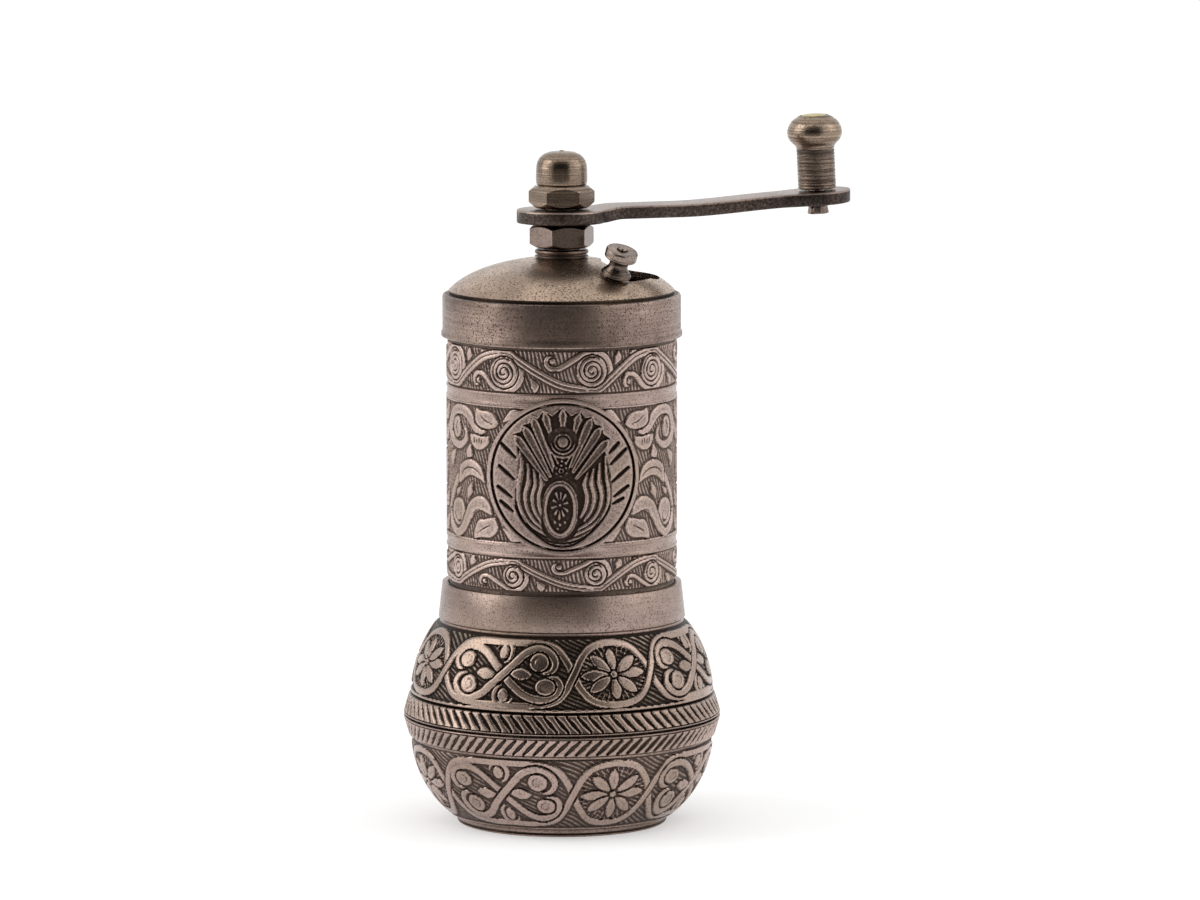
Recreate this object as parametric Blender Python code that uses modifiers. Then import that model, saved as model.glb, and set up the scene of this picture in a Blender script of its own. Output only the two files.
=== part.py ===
"""Hand-cranked spice mill: a bulb-footed hopper with a domed cap, a crank and a conical burr set.

Metres, +Z up. The origin is the middle of the foot, on the table, and the medallion faces -Y.
"""

from math import atan, cos, hypot, pi, radians, sin, sqrt, tan

import bmesh
import bpy
from mathutils import Matrix, Vector

MM = 0.001

# Fits
seat_gap = 0.3 * MM
running_gap = 0.3 * MM
burr_gap = 0.4 * MM

# Edges left on turned and pressed pieces
edge_break = 0.3 * MM
fine_edge = 0.2 * MM

# Lower bowl, the cup that catches the ground spice
foot_radius = 16.0 * MM
foot_height = 1.2 * MM
bowl_height = 16.4 * MM
bowl_start_radius = 17.1 * MM
bowl_radius = 23.0 * MM
bowl_bow = 1.2 * MM
bowl_wall = 1.4 * MM
rope_height = 2.6 * MM
rope_step = 0.35 * MM
lip_radius = 24.1 * MM
lip_height = 0.4 * MM
mouth_radius = 22.2 * MM

# Upper bell, the casting that joins the bowl to the hopper tube
bell_height = 14.3 * MM
bell_bow = 0.75 * MM
bell_wall = 1.4 * MM
bead_height = 1.1 * MM
spigot_length = 4.0 * MM
spigot_wall = 1.1 * MM
collar_height = 5.8 * MM
collar_step = 1.25 * MM
collar_taper = 0.6 * MM
shoulder_step = 0.35 * MM
groove_depth = 0.35 * MM
groove_width = 0.5 * MM
web_thickness = 2.4 * MM

# Hopper tube
tube_radius = 17.5 * MM
tube_wall = 1.6 * MM
tube_length = 36.9 * MM
rebate_depth = 0.4 * MM
tube_tail = 6.8 * MM
tube_tip = 5.8 * MM
ground_depth = 0.2 * MM
band_width = 2.0 * MM
upper_scroll_band = 6.8 * MM
lower_scroll_band = 5.4 * MM

# Cap
skirt_height = 6.4 * MM
skirt_step = 0.55 * MM
rim_flare = 0.2 * MM
rim_height = 0.9 * MM
dome_height = 5.55 * MM
dome_overreach = 1.2 * MM
dome_depth = 8.0 * MM
dome_inset = 0.85 * MM
dome_wall = 0.8 * MM
cap_edge = 0.5 * MM

# Fill hole: a wide curved hole with a narrow tail, both round the mill's axis
hole_radius = 10.4 * MM
hole_half_width = 4.4 * MM
hole_from = radians(-8)
hole_to = radians(40)
tail_half_width = 1.8 * MM
shutter_knob_angle = radians(-50)
shutter_knob_radius = 12.5 * MM

# Neck bushing, which guides the shaft through the dome
neck_radius = 4.1 * MM
neck_rise = 1.15 * MM
neck_shank_radius = 3.3 * MM
neck_flange_radius = 4.4 * MM
neck_flange_height = 0.6 * MM

# Shutter
shutter_wall = 0.5 * MM
shutter_radius = 15.6 * MM
shutter_lead = radians(17)
shutter_trail = radians(84)
washer_height = 0.4 * MM
washer_radius = 5.4 * MM
shutter_shank_radius = 1.35 * MM
shutter_flange_radius = 2.3 * MM
shutter_flange_height = 0.7 * MM
shutter_neck_radius = 1.5 * MM
shutter_neck_height = 2.0 * MM
shutter_head_radius = 2.45 * MM
shutter_head_height = 1.5 * MM
shutter_rivet_radius = 0.7 * MM
shutter_rivet_tip = 0.35 * MM

# Crank
shaft_radius = 2.45 * MM
lower_nut_height = 3.45 * MM
nut_corner_radius = 5.0 * MM
lower_nut_turn = radians(-4.4)
acorn_turn = radians(-15)
nut_chamfer = 0.45 * MM
arm_thickness = 1.95 * MM
arm_chamfer = 0.4 * MM
arm_angle = radians(18)
boss_radius = 6.8 * MM
arm_half_width = 3.4 * MM
crank_radius = 41.1 * MM
arm_end_radius = 5.0 * MM
arm_step = 0.46 * MM
arm_rise = 1.75 * MM
arm_end_slope = radians(3)
acorn_hex_height = 3.3 * MM
acorn_radius = 3.9 * MM
acorn_height = 5.35 * MM
acorn_round = 1.8 * MM
acorn_wall = 3.2 * MM

# Crank knob and the rivet it turns on
knob_height = 11.72 * MM
knob_stem_radius = 2.9 * MM
knob_head_radius = 4.2 * MM
knob_head_height = 5.0 * MM
knob_flat_radius = 2.7 * MM
knob_ring_depth = 0.22 * MM
knob_rings = 4
pin_radius = 1.25 * MM
pin_head_radius = 1.65 * MM
pin_head_height = 1.3 * MM
pin_cap_radius = 2.0 * MM
pin_cap_height = 0.7 * MM

# Burr set
flange_thickness = 1.7 * MM
burr_body_radius = 12.4 * MM
burr_rise = 5.0 * MM
burr_drop = 2.6 * MM
cavity_top_radius = 7.9 * MM
cavity_bottom_radius = 9.4 * MM
cavity_tooth = 0.8 * MM
cone_top_radius = 4.6 * MM
cone_height = 6.6 * MM
cone_skirt = 1.2 * MM
cone_tooth = 1.0 * MM
coarse_teeth = 8
fine_teeth = 24
tooth_samples = 3
burr_levels = 6
cone_twist = radians(38)
cavity_twist = radians(-24)
cavity_overrun = 0.08
square_half = 1.8 * MM
thread_radius = 1.75 * MM
shaft_end = 3.4 * MM

# Cage that carries the shaft's lower bearing
cage_wall = 1.1 * MM
cage_lap = 2.6 * MM
cage_rim_height = 1.6 * MM
cage_arms = 3
cage_arm_width = 2.6 * MM
hub_radius = 4.4 * MM
hub_height = 5.0 * MM

# Spring, its washer, the adjusting nut and the burr screws
spring_radius = 3.55 * MM
spring_wire = 0.7 * MM
spring_turns = 3
spring_points = 9
thrust_washer_radius = 4.3 * MM
thrust_washer_height = 0.5 * MM
adjuster_radius = 6.4 * MM
adjuster_height = 3.8 * MM
adjuster_flutes = 6
adjuster_flute_radius = 1.6 * MM
screw_count = 3
screw_radius = 0.9 * MM
screw_head_radius = 1.8 * MM
screw_head_height = 1.1 * MM

# Facets round a turned piece
round_steps = 36
small_steps = 20
pin_steps = 12

# Radii that follow the tube's
collar_radius = tube_radius + collar_step
shoulder_radius = collar_radius + shoulder_step
skirt_radius = tube_radius + skirt_step
dome_radius = skirt_radius - dome_inset
dome_span = dome_radius + dome_overreach
rebate_radius = tube_radius - rebate_depth
bore_radius = rebate_radius + seat_gap / 2
tube_bore = tube_radius - tube_wall
flange_radius = tube_radius
screw_circle = (burr_body_radius + flange_radius) / 2

# Heights, summed up from the table
bell_bottom = bowl_height + seat_gap
shoulder_z = bell_bottom + bell_height
collar_top = shoulder_z + collar_height
tube_bottom = collar_top + seat_gap - tube_tail
tube_low_shoulder = collar_top + seat_gap
tube_high_shoulder = tube_low_shoulder + tube_length
tube_top = tube_high_shoulder + tube_tip
cap_rim = tube_high_shoulder + seat_gap
cap_shoulder = cap_rim + skirt_height
dome_top = cap_shoulder + dome_height
neck_top = dome_top + neck_rise
lower_nut_bottom = neck_top + running_gap
arm_bottom = lower_nut_bottom + lower_nut_height + seat_gap
arm_top = arm_bottom + arm_thickness
acorn_bottom = arm_top + seat_gap
acorn_hex_top = acorn_bottom + acorn_hex_height
acorn_top = acorn_hex_top + acorn_height
web_top = tube_bottom - seat_gap
web_bottom = web_top - web_thickness
flange_top = web_bottom - seat_gap
flange_bottom = flange_top - flange_thickness
burr_top = web_top + burr_rise
burr_bottom = flange_bottom - burr_drop
cone_bottom = burr_bottom
cone_top = cone_bottom + cone_height
cage_bottom = burr_top + seat_gap
adjuster_top = cone_bottom - cone_skirt - seat_gap
adjuster_bottom = adjuster_top - adjuster_height
shaft_bottom = adjuster_bottom - shaft_end


def dome_z(radius, inset=0.0):
    """Height of the dome's elliptical crown at a radius, or of the same crown moved inwards."""
    span = dome_span - inset
    depth = dome_depth - inset
    crown = dome_top - inset
    return crown - depth * (1 - sqrt(1 - (radius / span) ** 2))


def dome_tilt(radius):
    """Angle by which the crown's normal leans away from the axis at a radius."""
    part_way = radius / dome_span
    return atan(dome_depth / dome_span * part_way / sqrt(1 - part_way ** 2))


def bow_circle(low, high, sagitta):
    """Circle through two (radius, height) points whose arc swells outwards by the sagitta."""
    run = high[0] - low[0]
    rise = high[1] - low[1]
    chord = hypot(run, rise)
    circle_radius = (chord * chord / 4 + sagitta * sagitta) / (2 * sagitta)
    reach = circle_radius - sagitta
    centre_r = (low[0] + high[0]) / 2 - reach * rise / chord
    centre_z = (low[1] + high[1]) / 2 + reach * run / chord
    return centre_r, centre_z, circle_radius


def bow_radius(circle, z, inset=0.0):
    """Radius of the bowed wall at a height, or of the same wall moved inwards."""
    centre_r, centre_z, circle_radius = circle
    return centre_r + sqrt((circle_radius - inset) ** 2 - (z - centre_z) ** 2)


def spread(start, end, steps):
    """Evenly spaced values from start to end, both included."""
    return [start + (end - start) * i / steps for i in range(steps + 1)]


def bow_points(circle, z_from, z_to, steps, inset=0.0):
    return [(bow_radius(circle, z, inset), z) for z in spread(z_from, z_to, steps)]


def round_points(centre, radius, angle_from, angle_to, steps):
    """Points on a circle in the profile plane, angles measured from the radial direction."""
    return [
        (centre[0] + radius * cos(a), centre[1] + radius * sin(a))
        for a in spread(angle_from, angle_to, steps)
    ]


def new_collection(name):
    collection = bpy.data.collections.new(name)
    bpy.context.scene.collection.children.link(collection)
    return collection


def finish(name, colour, roughness, metallic=1.0):
    """A metal finish for one sub-part."""
    material = bpy.data.materials.new(name)
    material.use_nodes = True
    shader = material.node_tree.nodes["Principled BSDF"]
    shader.inputs["Base Color"].default_value = (*colour, 1.0)
    shader.inputs["Roughness"].default_value = roughness
    shader.inputs["Metallic"].default_value = metallic
    material.diffuse_color = (*colour, 1.0)
    return material


def add(name, mesh, parent, collection=None):
    """Put a mesh in the scene as a named object under one of the moving groups."""
    thing = bpy.data.objects.new(name, mesh)
    (collection or parts).objects.link(thing)
    thing.parent = parent
    return thing


def dress(thing, colour, roughness):
    thing.data.materials.append(finish(thing.name, colour, roughness))


def as_cutter(thing):
    thing.hide_render = True
    thing.display_type = "WIRE"
    return thing


def turned(name, profile, parent, steps=round_steps, collection=None):
    """A turned piece: the profile runs down the outside, and a Screw modifier carries it round.

    The profile closes on itself, apart from any stretch that lies on the axis.
    """
    mesh = bpy.data.meshes.new(name)
    pairs = [(i, (i + 1) % len(profile)) for i in range(len(profile))]
    edges = [(i, j) for i, j in pairs if profile[i][0] > 0 or profile[j][0] > 0]
    mesh.from_pydata([(r, 0, z) for r, z in profile], edges, [])
    thing = add(name, mesh, parent, collection)
    screw = thing.modifiers.new("turn", "SCREW")
    screw.axis = "Z"
    screw.steps = steps
    screw.render_steps = steps
    screw.use_merge_vertices = True
    screw.merge_threshold = 0.005 * MM
    return thing


def turned_cutter(name, profile, parent, steps=round_steps):
    return as_cutter(turned(name, profile, parent, steps, cutters))


def boolean(thing, other, operation):
    modifier = thing.modifiers.new(other.name, "BOOLEAN")
    modifier.operation = operation
    modifier.solver = "EXACT"
    modifier.object = other
    return thing


def settle(thing, sharp=radians(32)):
    """Keep the modifiers' result as the object's own mesh, round faces smooth and corners sharp."""
    bpy.context.view_layer.update()
    graph = bpy.context.evaluated_depsgraph_get()
    mesh = bpy.data.meshes.new_from_object(thing.evaluated_get(graph))
    mesh.name = thing.name
    thing.modifiers.clear()
    thing.data = mesh
    mesh.shade_smooth()
    mesh.set_sharp_from_angle(angle=sharp)
    return thing


def prism(name, outline, z_from, z_to, parent, collection=None):
    """A flat outline carried straight up from one height to another."""
    shape = bmesh.new()
    face = shape.faces.new([shape.verts.new((x, y, z_from)) for x, y in outline])
    lifted = bmesh.ops.extrude_face_region(shape, geom=[face])
    verts = [v for v in lifted["geom"] if isinstance(v, bmesh.types.BMVert)]
    bmesh.ops.translate(shape, verts=verts, vec=(0, 0, z_to - z_from))
    bmesh.ops.recalc_face_normals(shape, faces=shape.faces)
    mesh = bpy.data.meshes.new(name)
    shape.to_mesh(mesh)
    shape.free()
    return add(name, mesh, parent, collection)


def cylinder_cutter(name, radius, z_from, z_to, parent, steps=small_steps):
    return turned_cutter(name, [(0, z_to), (radius, z_to), (radius, z_from), (0, z_from)], parent, steps)


def curved_slot(radius, half_width, angle_from, angle_to, arc_steps, end_steps):
    """Outline of a slot that runs round the axis and has a half-round at each end."""
    outline = []
    for a in spread(angle_from, angle_to, arc_steps):
        outline.append(((radius + half_width) * cos(a), (radius + half_width) * sin(a)))
    for t in spread(0, pi, end_steps)[1:-1]:
        a = angle_to + t
        outline.append((radius * cos(angle_to) + half_width * cos(a),
                        radius * sin(angle_to) + half_width * sin(a)))
    for a in spread(angle_to, angle_from, arc_steps):
        outline.append(((radius - half_width) * cos(a), (radius - half_width) * sin(a)))
    for t in spread(0, pi, end_steps)[1:-1]:
        a = angle_from + pi + t
        outline.append((radius * cos(angle_from) + half_width * cos(a),
                        radius * sin(angle_from) + half_width * sin(a)))
    return outline


def loft(name, rings, parent, collection=None):
    """A closed skin over rings of equal count, capped at both ends."""
    shape = bmesh.new()
    rows = [[shape.verts.new(point) for point in ring] for ring in rings]
    count = len(rows[0])
    for low, high in zip(rows, rows[1:]):
        for i in range(count):
            j = (i + 1) % count
            shape.faces.new((low[i], low[j], high[j], high[i]))
    shape.faces.new(list(reversed(rows[0])))
    shape.faces.new(rows[-1])
    bmesh.ops.recalc_face_normals(shape, faces=shape.faces)
    mesh = bpy.data.meshes.new(name)
    shape.to_mesh(mesh)
    shape.free()
    return add(name, mesh, parent, collection)


def tooth(turn):
    """Height of one tooth round its pitch: a steep face, then a long back down to the root."""
    part = turn % 1.0
    rise = 0.25
    if part < rise:
        return part / rise
    return 1 - (part - rise) / (1 - rise)


def toothed_ring(z, tip_radius, coarse, fine, twist, inwards=False):
    """One ring of a burr: a coarse tooth form that fades as the fine one comes in."""
    count = fine_teeth * tooth_samples
    ring = []
    for i in range(count):
        turn = i / count
        drop = coarse * (1 - tooth(turn * coarse_teeth)) + fine * (1 - tooth(turn * fine_teeth))
        radius = tip_radius + drop if inwards else tip_radius - drop
        angle = 2 * pi * turn + twist
        ring.append((radius * cos(angle), radius * sin(angle), z))
    return ring


for leftover in list(bpy.data.objects):
    bpy.data.objects.remove(leftover)

parts = new_collection("spice_mill")
cutters = new_collection("cutters")


def group(name, parent=None, location=(0, 0, 0), rotation=(0, 0, 0)):
    """An empty on the axis of one moving group."""
    empty = add(name, None, parent)
    empty.location = location
    empty.rotation_euler = rotation
    return empty


bowl_group = group("bowl")
mill_group = group("mill_body")
shutter_group = group("shutter", mill_group, rotation=(0, 0, shutter_knob_angle))
crank_group = group("crank", mill_group, rotation=(0, 0, arm_angle))
burr_group = group("burr", crank_group)
adjuster_group = group("adjuster", burr_group)


def lower_bowl():
    """Cup: foot, bowed wall, rope moulding and lip outside, a plain bore for the bell's spigot inside."""
    rope_bottom = bowl_height - lip_height - rope_height
    wall_top = (bowl_radius, rope_bottom - bead_height)
    bow = bow_circle((bowl_start_radius, foot_height + rope_step / 2), wall_top, bowl_bow)
    mouth_floor = bowl_height - spigot_length - seat_gap
    outside = [
        (lip_radius - rope_step / 2, bowl_height),
        (lip_radius, bowl_height - lip_height / 2),
        (lip_radius, bowl_height - lip_height),
        (lip_radius - rope_step, rope_bottom + rope_height / 2),
        (bowl_radius + rope_step, rope_bottom),
        (bowl_radius, rope_bottom - rope_step / 2),
        (bowl_radius + rope_step / 2, rope_bottom - bead_height / 2),
    ]
    outside += bow_points(bow, wall_top[1], foot_height + rope_step / 2, 6)
    outside += [
        (foot_radius, foot_height),
        (foot_radius, rope_step),
        (foot_radius - rope_step, 0),
        (0, 0),
    ]
    inside = [(0, bowl_wall)]
    inside += bow_points(bow, bowl_wall, mouth_floor, 5, bowl_wall)
    inside += [(mouth_radius, mouth_floor), (mouth_radius, bowl_height)]
    bowl = turned("lower_bowl", outside + inside, bowl_group)
    settle(bowl)
    dress(bowl, (0.47, 0.42, 0.40), 0.42)


def upper_bell():
    """Bell: spigot, lip and rope moulding, bowed wall, shoulder groove, tapered collar and inner web."""
    rope_top = bell_bottom + lip_height + rope_height
    wall_bottom = (bowl_radius, rope_top + bead_height)
    wall_top_z = shoulder_z - groove_width / 2
    bow = bow_circle(wall_bottom, (shoulder_radius, wall_top_z), bell_bow)
    spigot_radius = mouth_radius - seat_gap
    spigot_bore = spigot_radius - spigot_wall
    spigot_bottom = bell_bottom - spigot_length
    outside = [
        (collar_radius - collar_taper, collar_top),
        (collar_radius, shoulder_z + groove_width),
        (collar_radius - groove_depth, shoulder_z + groove_width / 2),
        (collar_radius - groove_depth, shoulder_z),
    ]
    outside += bow_points(bow, wall_top_z, wall_bottom[1], 6)
    outside += [
        (bowl_radius + rope_step / 2, rope_top + bead_height / 2),
        (bowl_radius, rope_top + rope_step / 2),
        (bowl_radius + rope_step, rope_top),
        (lip_radius - rope_step, bell_bottom + lip_height + rope_height / 2),
        (lip_radius, bell_bottom + lip_height),
        (lip_radius, bell_bottom + lip_height / 2),
        (lip_radius - rope_step / 2, bell_bottom),
        (spigot_radius, bell_bottom),
        (spigot_radius, spigot_bottom),
    ]
    inside = [
        (spigot_bore, spigot_bottom),
        (spigot_bore, bell_bottom + lip_height),
    ]
    inside += bow_points(bow, wall_bottom[1], web_bottom, 4, bell_wall)
    inside += [
        (burr_body_radius + seat_gap, web_bottom),
        (burr_body_radius + seat_gap, web_top),
        (bore_radius, web_top),
        (bore_radius, collar_top),
    ]
    bell = turned("upper_bell", outside + inside, mill_group)
    for i in range(screw_count):
        boolean(bell, screw_hole(i, "bell"), "DIFFERENCE")
    settle(bell)
    dress(bell, (0.42, 0.37, 0.34), 0.40)


def screw_place(index):
    angle = 2 * pi * index / screw_count + pi / screw_count
    return Matrix.Rotation(angle, 4, "Z") @ Matrix.Translation((screw_circle, 0, 0))


def screw_hole(index, carrier):
    hole = cylinder_cutter(
        f"screw_hole_{carrier}_{index + 1}", screw_radius + seat_gap,
        flange_bottom - seat_gap, web_top + seat_gap, mill_group, pin_steps)
    hole.matrix_local = screw_place(index)
    return hole


def hopper_tube():
    """Tube: rebated ends, plain raised bands, and ornament grounds that stand a little lower."""
    ground = tube_radius - ground_depth
    low = tube_low_shoulder
    high = tube_high_shoulder
    profile = [
        (rebate_radius, tube_top),
        (rebate_radius, high),
        (ground, high),
        (ground, high - upper_scroll_band),
        (tube_radius, high - upper_scroll_band),
        (tube_radius, high - upper_scroll_band - band_width),
        (ground, high - upper_scroll_band - band_width),
        (ground, low + lower_scroll_band + band_width),
        (tube_radius, low + lower_scroll_band + band_width),
        (tube_radius, low + lower_scroll_band),
        (ground, low + lower_scroll_band),
        (ground, low),
        (rebate_radius, low),
        (rebate_radius, tube_bottom),
        (tube_bore, tube_bottom),
        (tube_bore, tube_top),
    ]
    tube = turned("hopper_tube", profile, mill_group)
    settle(tube)
    dress(tube, (0.50, 0.46, 0.44), 0.40)


def hole_outline():
    """The fill hole in plan, from the middle of its front end to the middle of its back end."""
    return curved_slot(hole_radius, hole_half_width, hole_from, hole_to, 8, 8)


def cap():
    """Cap: flared skirt, stepped shoulder and elliptical dome, with the fill hole and its tail cut in."""
    seat = tube_top + seat_gap
    crown = [(r, dome_z(r)) for r in spread(neck_shank_radius + seat_gap, dome_radius, 8)]
    under = [(r, dome_z(r, dome_wall)) for r in spread(tube_bore, neck_shank_radius + seat_gap, 6)]
    profile = crown + [
        (dome_radius + fine_edge, cap_shoulder),
        (skirt_radius - edge_break, cap_shoulder),
        (skirt_radius, cap_shoulder - cap_edge),
        (skirt_radius, cap_rim + rim_height),
        (skirt_radius + rim_flare, cap_rim + rim_height / 3),
        (skirt_radius + rim_flare, cap_rim),
        (bore_radius, cap_rim),
        (bore_radius, seat),
        (tube_bore, seat),
    ] + under
    dome = turned("cap_dome", profile, mill_group)
    low = cap_shoulder - dome_depth
    high = dome_top + dome_depth
    fill = as_cutter(prism("fill_hole", hole_outline(), low, high, mill_group, cutters))
    tail_outline = curved_slot(
        tail_radius(), tail_half_width, shutter_knob_angle, hole_from, 6, 6)
    tail = as_cutter(prism("fill_hole_tail", tail_outline, low, high, mill_group, cutters))
    boolean(dome, fill, "DIFFERENCE")
    boolean(dome, tail, "DIFFERENCE")
    settle(dome)
    dress(dome, (0.45, 0.40, 0.37), 0.36)


def shutter_lean():
    return dome_tilt(shutter_knob_radius)


def tail_radius():
    """Middle of the tail: the knob's shank leans, so it crosses the dome's wall a little further in."""
    return shutter_knob_radius - dome_wall / 2 * tan(shutter_lean())


def bushing():
    """Neck bushing: collar on the dome, shank through it, and the edge peened over inside."""
    shank_bottom = dome_z(0, dome_wall) - 4 * seat_gap - shutter_wall - washer_height
    bore = shaft_radius + running_gap
    profile = [
        (neck_radius - fine_edge, neck_top),
        (neck_radius, neck_top - fine_edge),
        (neck_radius, dome_z(neck_radius) + seat_gap),
        (neck_shank_radius, dome_z(neck_shank_radius) + seat_gap),
        (neck_shank_radius, shank_bottom),
        (neck_flange_radius, shank_bottom),
        (neck_flange_radius, shank_bottom - neck_flange_height),
        (bore, shank_bottom - neck_flange_height),
        (bore, neck_top),
    ]
    neck = turned("neck_bushing", profile, mill_group, small_steps)
    settle(neck)
    dress(neck, (0.40, 0.34, 0.28), 0.38)
    washer_top = shank_bottom + seat_gap + washer_height
    inner = neck_shank_radius + seat_gap
    washer = turned("shutter_washer", [
        (washer_radius, washer_top - washer_height / 3),
        (washer_radius, washer_top - washer_height),
        (inner, washer_top - washer_height),
        (inner, washer_top),
        (washer_radius - washer_height / 2, washer_top),
    ], mill_group, small_steps)
    settle(washer)
    dress(washer, (0.55, 0.53, 0.50), 0.35)


def shutter():
    """Curved sector under the dome, its turned knob in the tail of the hole, and the rivet through both."""
    top_inset = dome_wall + seat_gap
    low_inset = top_inset + shutter_wall
    inner = neck_shank_radius + seat_gap
    crown = [(r, dome_z(r, top_inset)) for r in spread(inner, shutter_radius, 6)]
    under = [(r, dome_z(r, low_inset)) for r in spread(shutter_radius, inner, 6)]
    plate = turned("shutter_plate", crown + under, shutter_group)
    reach = shutter_radius * 2
    low = cap_shoulder - dome_depth
    high = dome_top + dome_depth
    outline = [(0, 0)]
    outline += [(reach * cos(a), reach * sin(a)) for a in spread(-shutter_trail, shutter_lead, 8)]
    wedge = prism("shutter_wedge", outline, low, high, shutter_group, cutters)
    hub = cylinder_cutter("shutter_hub", washer_radius + seat_gap, low, high, shutter_group)
    boolean(as_cutter(wedge), hub, "UNION")
    boolean(plate, wedge, "INTERSECT")
    rivet_hole = cylinder_cutter(
        "shutter_rivet_hole", shutter_rivet_radius + seat_gap / 2,
        -dome_depth, dome_depth, shutter_group, pin_steps)
    place_on_dome(rivet_hole)
    boolean(plate, rivet_hole, "DIFFERENCE")
    settle(plate)
    dress(plate, (0.48, 0.44, 0.40), 0.40)

    bottom = -dome_wall - seat_gap / 3
    flange_base = seat_gap
    flange_end = flange_base + shutter_flange_height
    head_base = flange_end + shutter_neck_height
    head_end = head_base + shutter_head_height
    bore = shutter_rivet_radius + seat_gap / 2
    waist = shutter_neck_radius
    knob = turned("shutter_knob", [
        (shutter_head_radius - edge_break, head_end),
        (shutter_head_radius, head_end - edge_break),
        (shutter_head_radius, head_base + edge_break),
        (shutter_head_radius - edge_break, head_base),
        (waist + fine_edge, head_base),
        (waist, head_base - edge_break),
        (waist, flange_end + edge_break),
        (waist + edge_break, flange_end),
        (shutter_flange_radius - fine_edge, flange_end),
        (shutter_flange_radius, flange_end - fine_edge),
        (shutter_flange_radius, flange_base),
        (shutter_shank_radius, flange_base),
        (shutter_shank_radius, bottom),
        (bore, bottom),
        (bore, head_end),
    ], shutter_group, small_steps)
    place_on_dome(knob)
    settle(knob)
    dress(knob, (0.40, 0.33, 0.26), 0.34)

    plate_bottom = -low_inset - seat_gap
    tip = head_end + shutter_rivet_tip
    rivet = turned("shutter_rivet", [
        (0, tip),
        (shutter_rivet_radius - fine_edge, tip),
        (shutter_rivet_radius, tip - fine_edge),
        (shutter_rivet_radius, plate_bottom),
        (shutter_rivet_radius * 2, plate_bottom),
        (shutter_rivet_radius * 1.6, plate_bottom - shutter_rivet_radius / 2),
        (0, plate_bottom - shutter_rivet_radius / 2),
    ], shutter_group, pin_steps)
    place_on_dome(rivet)
    settle(rivet)
    dress(rivet, (0.60, 0.58, 0.55), 0.35)


def place_on_dome(thing):
    """Stand a piece square to the dome at the shutter knob's radius, on the group's own +X."""
    thing.location = (shutter_knob_radius, 0, dome_z(shutter_knob_radius))
    thing.rotation_euler = (0, shutter_lean(), 0)


def shaft():
    """Shaft: round in the bushing and cage, square through the burr, thinner where the nut runs."""
    square_bottom = cone_bottom - cone_skirt - seat_gap / 2
    square_top = cone_top + seat_gap / 2
    top = acorn_top - acorn_wall
    spindle = turned("shaft", [
        (0, top),
        (shaft_radius - edge_break, top),
        (shaft_radius, top - edge_break),
        (shaft_radius, square_bottom),
        (thread_radius, square_bottom),
        (thread_radius, shaft_bottom + edge_break),
        (thread_radius - edge_break, shaft_bottom),
        (0, shaft_bottom),
    ], crank_group, small_steps)
    for i in range(4):
        flat = box(f"shaft_flat_{i + 1}", shaft_radius, shaft_radius * 3, square_top - shaft_bottom,
                   (square_half + shaft_radius / 2, 0, (square_top + shaft_bottom) / 2),
                   crank_group, pi / 2 * i)
        boolean(spindle, as_cutter(flat), "DIFFERENCE")
    settle(spindle)
    dress(spindle, (0.55, 0.54, 0.52), 0.30)


def box(name, size_x, size_y, size_z, centre, parent, turn=0.0, collection=None):
    """A block from a cube, its size and place in its mesh, turned about the group's axis."""
    shape = bmesh.new()
    bmesh.ops.create_cube(shape, size=1)
    bmesh.ops.scale(shape, verts=shape.verts, vec=(size_x, size_y, size_z))
    bmesh.ops.translate(shape, verts=shape.verts, vec=centre)
    bmesh.ops.rotate(shape, verts=shape.verts, matrix=Matrix.Rotation(turn, 3, "Z"))
    mesh = bpy.data.meshes.new(name)
    shape.to_mesh(mesh)
    shape.free()
    return add(name, mesh, parent, collection or cutters)


def hexagon(name, z_from, z_to, turn, parent, collection=None):
    """Six-sided nut blank."""
    outline = [
        (nut_corner_radius * cos(turn + pi / 3 * i), nut_corner_radius * sin(turn + pi / 3 * i))
        for i in range(6)
    ]
    return prism(name, outline, z_from, z_to, parent, collection)


def chamfer_blank(name, z_from, z_to, parent):
    """Turned blank whose two cones take the corners off a hexagon."""
    flat_radius = nut_corner_radius * cos(pi / 6)
    wide = nut_corner_radius + nut_chamfer
    drop = nut_chamfer * (wide - flat_radius) / (nut_corner_radius - flat_radius)
    return turned_cutter(name, [
        (0, z_to),
        (flat_radius, z_to),
        (wide, z_to - drop),
        (wide, z_from + drop),
        (flat_radius, z_from),
        (0, z_from),
    ], parent)


def lower_nut():
    top = lower_nut_bottom + lower_nut_height
    nut = hexagon("lower_hex_nut", lower_nut_bottom, top, lower_nut_turn, crank_group)
    boolean(nut, chamfer_blank("lower_nut_cones", lower_nut_bottom, top, crank_group), "INTERSECT")
    bore = cylinder_cutter(
        "lower_nut_bore", shaft_radius + seat_gap, lower_nut_bottom - seat_gap, top + seat_gap, crank_group)
    boolean(nut, bore, "DIFFERENCE")
    settle(nut)
    dress(nut, (0.36, 0.30, 0.25), 0.34)


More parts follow.
